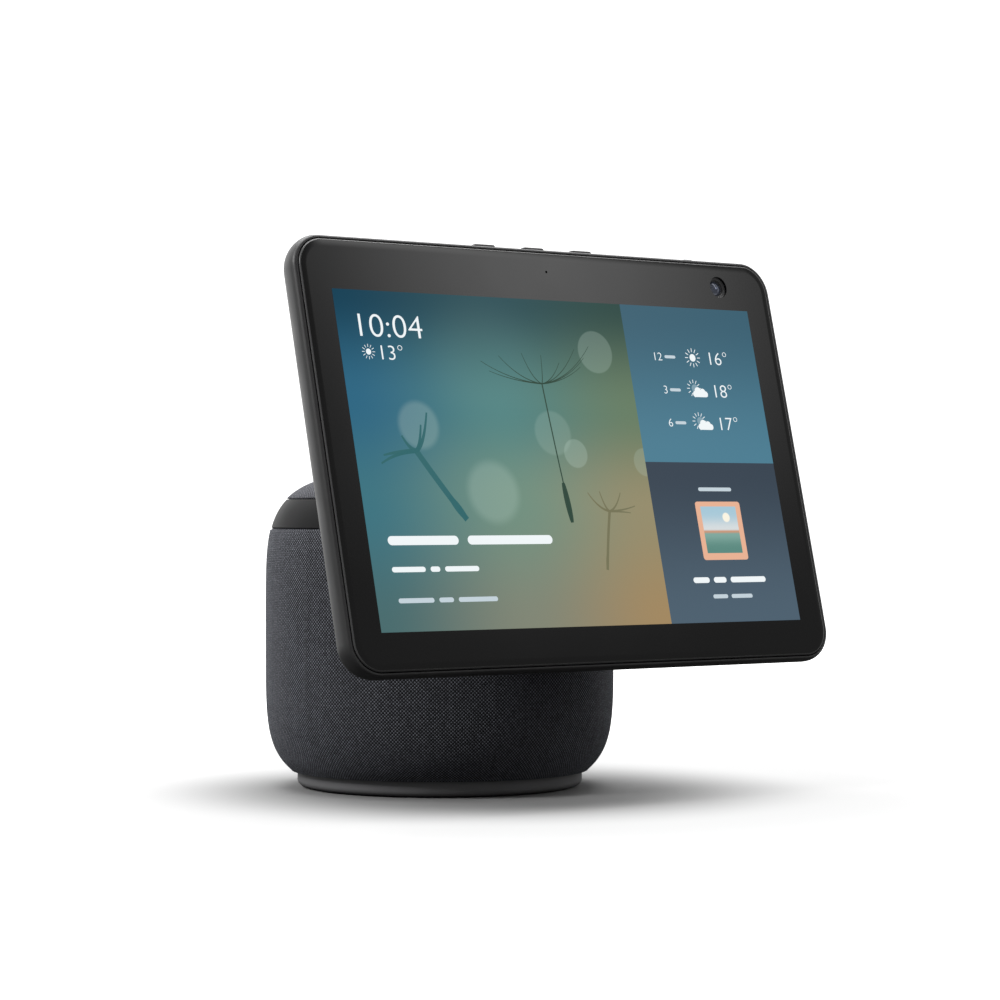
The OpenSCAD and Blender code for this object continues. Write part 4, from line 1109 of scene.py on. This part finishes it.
wallpaper_ink = lit_ink("wallpaper", wallpaper_colour)
hours_ink = shaded_glow("hours blue", 0.5, (76, 125, 146), (55, 94, 112))
card_ink = shaded_glow("card slate", 0.0, (78, 97, 112), (56, 68, 81))
show("picture_wallpaper", [oblong(-half_w, SPLIT_X, -half_h, half_h)], PAPER, wallpaper_ink)
show("picture_hours", [oblong(SPLIT_X, half_w, SPLIT_Z, half_h)], PAPER, hours_ink)
show("picture_card", [oblong(SPLIT_X, half_w, -half_h, SPLIT_Z)], PAPER, card_ink)


def stroke(points, widths):
    """Ribbon along points, as one outline, with a width at each point."""
    left, right = [], []
    for i, (x, z) in enumerate(points):
        before, after = points[max(0, i - 1)], points[min(len(points) - 1, i + 1)]
        run = math.hypot(after[0] - before[0], after[1] - before[1]) or 1.0
        normal_x, normal_z = -(after[1] - before[1]) / run, (after[0] - before[0]) / run
        left.append((x + normal_x * widths[i] / 2, z + normal_z * widths[i] / 2))
        right.append((x - normal_x * widths[i] / 2, z - normal_z * widths[i] / 2))
    return left + right[::-1]


def curve(start, bend, end):
    """Points of a curve that leaves start, is pulled towards bend and ends at end."""
    points = []
    for t in CURVE_SHARES:
        points.append(tuple((1 - t) ** 2 * a + 2 * t * (1 - t) * b + t * t * c for a, b, c in zip(start, bend, end)))
    return points


def seed_shapes(head, foot, body_from, tips, hair, body_w):
    """A seed on its stalk: hairs that fan out from the head, a thin stem, and a long seed at its end."""
    shapes = []
    for tip in tips:
        bend = (head[0] + 0.55 * (tip[0] - head[0]), head[1] + 0.12 * (tip[1] - head[1]))
        shapes.append(stroke(curve(head, bend, tip), [hair * (1.3 - 0.8 * share) for share in CURVE_SHARES]))
    stem = curve(head, ((head[0] + foot[0]) / 2 - 0.5, (head[1] + foot[1]) / 2), foot)
    shapes.append(stroke(stem, [hair * 1.7] * len(stem)))
    body = [tuple(a + (b - a) * i / 12 for a, b in zip(body_from, foot)) for i in range(13)]
    swell = [math.sin(math.pi * (0.06 + 0.88 * i / 12)) ** 0.5 for i in range(13)]
    shapes.append(stroke(body, [body_w * (0.12 + 0.88 * share) for share in swell]))
    return shapes


NEAR_TIPS = [
    (-41.5, 41.0), (-38.0, 37.0), (-32.0, 43.5), (-20.0, 45.0), (-10.0, 44.5),
    (-1.0, 41.5), (8.0, 47.5), (12.5, 44.0), (16.0, 49.0), (10.0, 40.0),
]
FAR_TIPS = [(-97.5, -1.8), (-92.0, 0.6), (-86.0, 9.5), (-76.0, 14.0), (-72.3, 19.0), (-96.0, 1.5)]
SMALL_TIPS = [(3.2, -13.0), (5.5, -16.0), (9.5, -12.5), (20.5, -13.0), (27.3, -18.6), (24.5, -21.5)]
near_seed = seed_shapes((-11.7, 32.3), (-7.2, -25.5), (-8.8, -9.0), NEAR_TIPS, 0.34, 2.8)
far_seed = seed_shapes((-80.0, 3.4), (-60.2, -24.2), (-67.0, -15.0), FAR_TIPS, 1.5, 3.2)
small_seed = seed_shapes((13.3, -20.8), (7.3, -45.2), (8.6, -38.5), SMALL_TIPS, 0.75, 1.4)
show("picture_near_seed", near_seed, NEAR_MARKS, lit_ink("near seed", (48, 72, 60)))
show("picture_far_seed", far_seed, FAR_MARKS, lit_ink("far seed", (52, 104, 108)))
show("picture_small_seed", small_seed, FAR_MARKS, lit_ink("small seed", (118, 116, 88)))


def figures(text, x, z, height, wide=1.0, right=False):
    """Numerals of the clock or the weather, as a thin mesh; x is their left edge, or their right edge."""
    letters = bpy.data.curves.new("figures", "FONT")
    letters.body = text
    letters.extrude = 0.5
    letters.offset = -0.012
    mesh = plain_mesh(add_object("figures", letters))
    xs = [vertex.co.x for vertex in mesh.vertices]
    ys = [vertex.co.y for vertex in mesh.vertices]
    scale = height * MM / (max(ys) - min(ys))
    edge = max(xs) if right else min(xs)
    for vertex in mesh.vertices:
        across, up, out = vertex.co
        vertex.co = (
            (across - edge) * scale * wide + x * MM,
            MARKS + (0.5 - out) * LAYER,
            (up - min(ys)) * scale + z * MM + PICTURE_Z,
        )
    mesh.transform(on_screen)
    return mesh


RAY_INPUTS = {
    "Rays": "Int", "Ring radius": "Float", "Ray length": "Float", "Ray width": "Float",
    "Thickness": "Float", "Ink": "Material",
}


def make_ray_tree():
    """Geometry Nodes: flat rays that point outwards, at even turns round a ring."""
    tree = bpy.data.node_groups.new("ray ring", "GeometryNodeTree")
    for name, kind in RAY_INPUTS.items():
        tree.interface.new_socket(name=name, in_out="INPUT", socket_type="NodeSocket" + kind)
    tree.interface.new_socket(name="Geometry", in_out="OUTPUT", socket_type="NodeSocketGeometry")
    given = tree.nodes.new("NodeGroupInput").outputs
    ring = add_node(tree, "GeometryNodeMeshCircle", Vertices=given["Rays"], Radius=given["Ring radius"])
    ray_size = add_node(
        tree, "ShaderNodeCombineXYZ", X=given["Ray length"], Y=given["Ray width"], Z=given["Thickness"],
    )
    ray = add_node(tree, "GeometryNodeMeshCube", Size=ray_size.outputs[0])
    place = tree.nodes.new("GeometryNodeInputPosition").outputs[0]
    outwards = add_node(tree, "FunctionNodeAlignRotationToVector", Vector=place)
    outwards.axis = "X"
    copies = add_node(
        tree, "GeometryNodeInstanceOnPoints",
        Points=ring.outputs["Mesh"], Instance=ray.outputs["Mesh"], Rotation=outwards.outputs["Rotation"],
    )
    solid = add_node(tree, "GeometryNodeRealizeInstances", Geometry=copies.outputs["Instances"])
    inked = add_node(tree, "GeometryNodeSetMaterial", Geometry=solid.outputs["Geometry"], Material=given["Ink"])
    add_node(tree, "NodeGroupOutput", Geometry=inked.outputs["Geometry"])
    return tree


RAYS = 12
ray_tree = make_ray_tree()
white_ink = lit_ink("white marks", (240, 246, 248))


def sun_rays(x, z, size):
    """Rays of a sun, as a plain mesh made from the tree."""
    made = add_object("rays", bpy.data.meshes.new("rays"))
    modifier = made.modifiers.new("rays", "NODES")
    modifier.node_group = ray_tree
    sizes = {
        "Rays": RAYS, "Ring radius": 0.86 * size * MM, "Ray length": 0.42 * size * MM,
        "Ray width": 0.08 * size * MM, "Thickness": LAYER, "Ink": white_ink,
    }
    for name, value in sizes.items():
        modifier[ray_tree.interface.items_tree[name].identifier] = value
    mesh = plain_mesh(made)
    place = Matrix.Translation((x * MM, MARKS + LAYER / 2, z * MM + PICTURE_Z))
    mesh.transform(on_screen @ place @ Matrix.Rotation(math.pi / 2, 4, "X"))
    return mesh


def cloud(x, z, size):
    base = rounded(x - 1.15 * size, x + 1.15 * size, z - 0.62 * size, z + 0.1 * size, 0.34 * size)
    return [base, disc(x - 0.35 * size, z + 0.1 * size, 0.48 * size), disc(x + 0.4 * size, z + 0.02 * size, 0.4 * size)]


HOUR_ROWS = [(46.0, "12", "16°"), (31.6, "3", "18°"), (17.3, "6", "17°")]
# Each bar is its left end, right end, height and thickness.
WHITE_BARS = [
    (-100.0, -66.0, -32.4, 3.6), (-61.5, -19.0, -32.4, 3.6),
    (-100.0, -84.0, -43.8, 2.1), (-81.6, -77.0, -43.8, 2.1), (-74.6, -58.0, -43.8, 2.1),
    (52.5, 61.4, -50.2, 2.4), (63.8, 70.8, -50.2, 2.4), (73.2, 93.0, -50.2, 2.4),
]
PALE_BARS = [
    (-99.0, -82.0, -56.0, 1.9), (-79.6, -72.6, -56.0, 1.9), (-70.2, -51.0, -56.0, 1.9),
    (62.0, 70.2, -57.2, 1.7), (72.2, 84.0, -57.2, 1.7), (63.5, 82.0, -11.4, 1.6),
]
COVER_LOW, COVER_HIGH = -38.8, -18.8
white_parts = [
    figures("10:04", -98.8, 49.2, 9.2, 1.14), figures("13°", -89.9, 40.0, 6.1, 1.1),
    sun_rays(-96.0, 43.0, 2.9), sun_rays(72.7, 46.0, 3.9),
]
white_shapes = [disc(-96.0, 43.0, 1.22), disc(72.7, 46.0, 1.64)] + [bar(*values) for values in WHITE_BARS]
pale_shapes = [bar(*values) for values in PALE_BARS]
hidden_suns = []
for row_z, hour, degrees in HOUR_ROWS:
    white_parts.append(figures(degrees, 82.3, row_z - 2.8, 5.8, 1.1))
    white_parts.append(figures(hour, 55.5, row_z - 1.7, 3.4, 1.1, True))
    pale_shapes.append(bar(57.0, 63.0, row_z, 1.3))
for row_z, _, _ in HOUR_ROWS[1:]:
    white_parts.append(sun_rays(70.6, row_z + 0.9, 3.6))
    white_shapes += cloud(73.8, row_z - 0.6, 3.6)
    hidden_suns.append(disc(71.2, row_z + 0.9, 1.8))
white_parts.append(flat_mesh("white_shapes", white_shapes, MARKS))
white_marks = join_meshes("picture_white_marks", white_parts, 1e-8, False)
finish_piece("picture_white_marks", white_marks, white_ink, "screen", ())
show("picture_pale_marks", pale_shapes, MARKS, lit_ink("pale marks", (196, 210, 218)))
show("picture_hidden_suns", hidden_suns, NEAR_MARKS, lit_ink("dull sun", (128, 158, 172)))
peach_ink = lit_ink("peach frame", (232, 178, 148))
show("picture_cover_frame", [rounded(60.3, 85.3, -41.7, -16.7, 1.3)], NEAR_MARKS, peach_ink)

COVER_SKY = [
    (0.0, 92, 138, 128), (0.36, 128, 168, 158), (0.44, 200, 150, 120),
    (0.52, 214, 220, 222), (1.0, 166, 200, 216),
]


def cover_colour(tree):
    """A plain picture of sky over still water."""
    across, up, _ = picture_place(tree)
    share = smooth_range(tree, up, COVER_LOW, COVER_HIGH, 0.0, 1.0)
    sun_spot = spot(tree, across, up, 76.5, -23.5, 2.0, 0.3)
    return mix_colours(tree, sun_spot, height_ramp(tree, share, COVER_SKY), srgb(250, 244, 226))


cover_outline = rounded(62.9, 82.6, COVER_LOW, COVER_HIGH, 0.2)
show("picture_cover", [cover_outline], MARKS, lit_ink("cover picture", cover_colour))
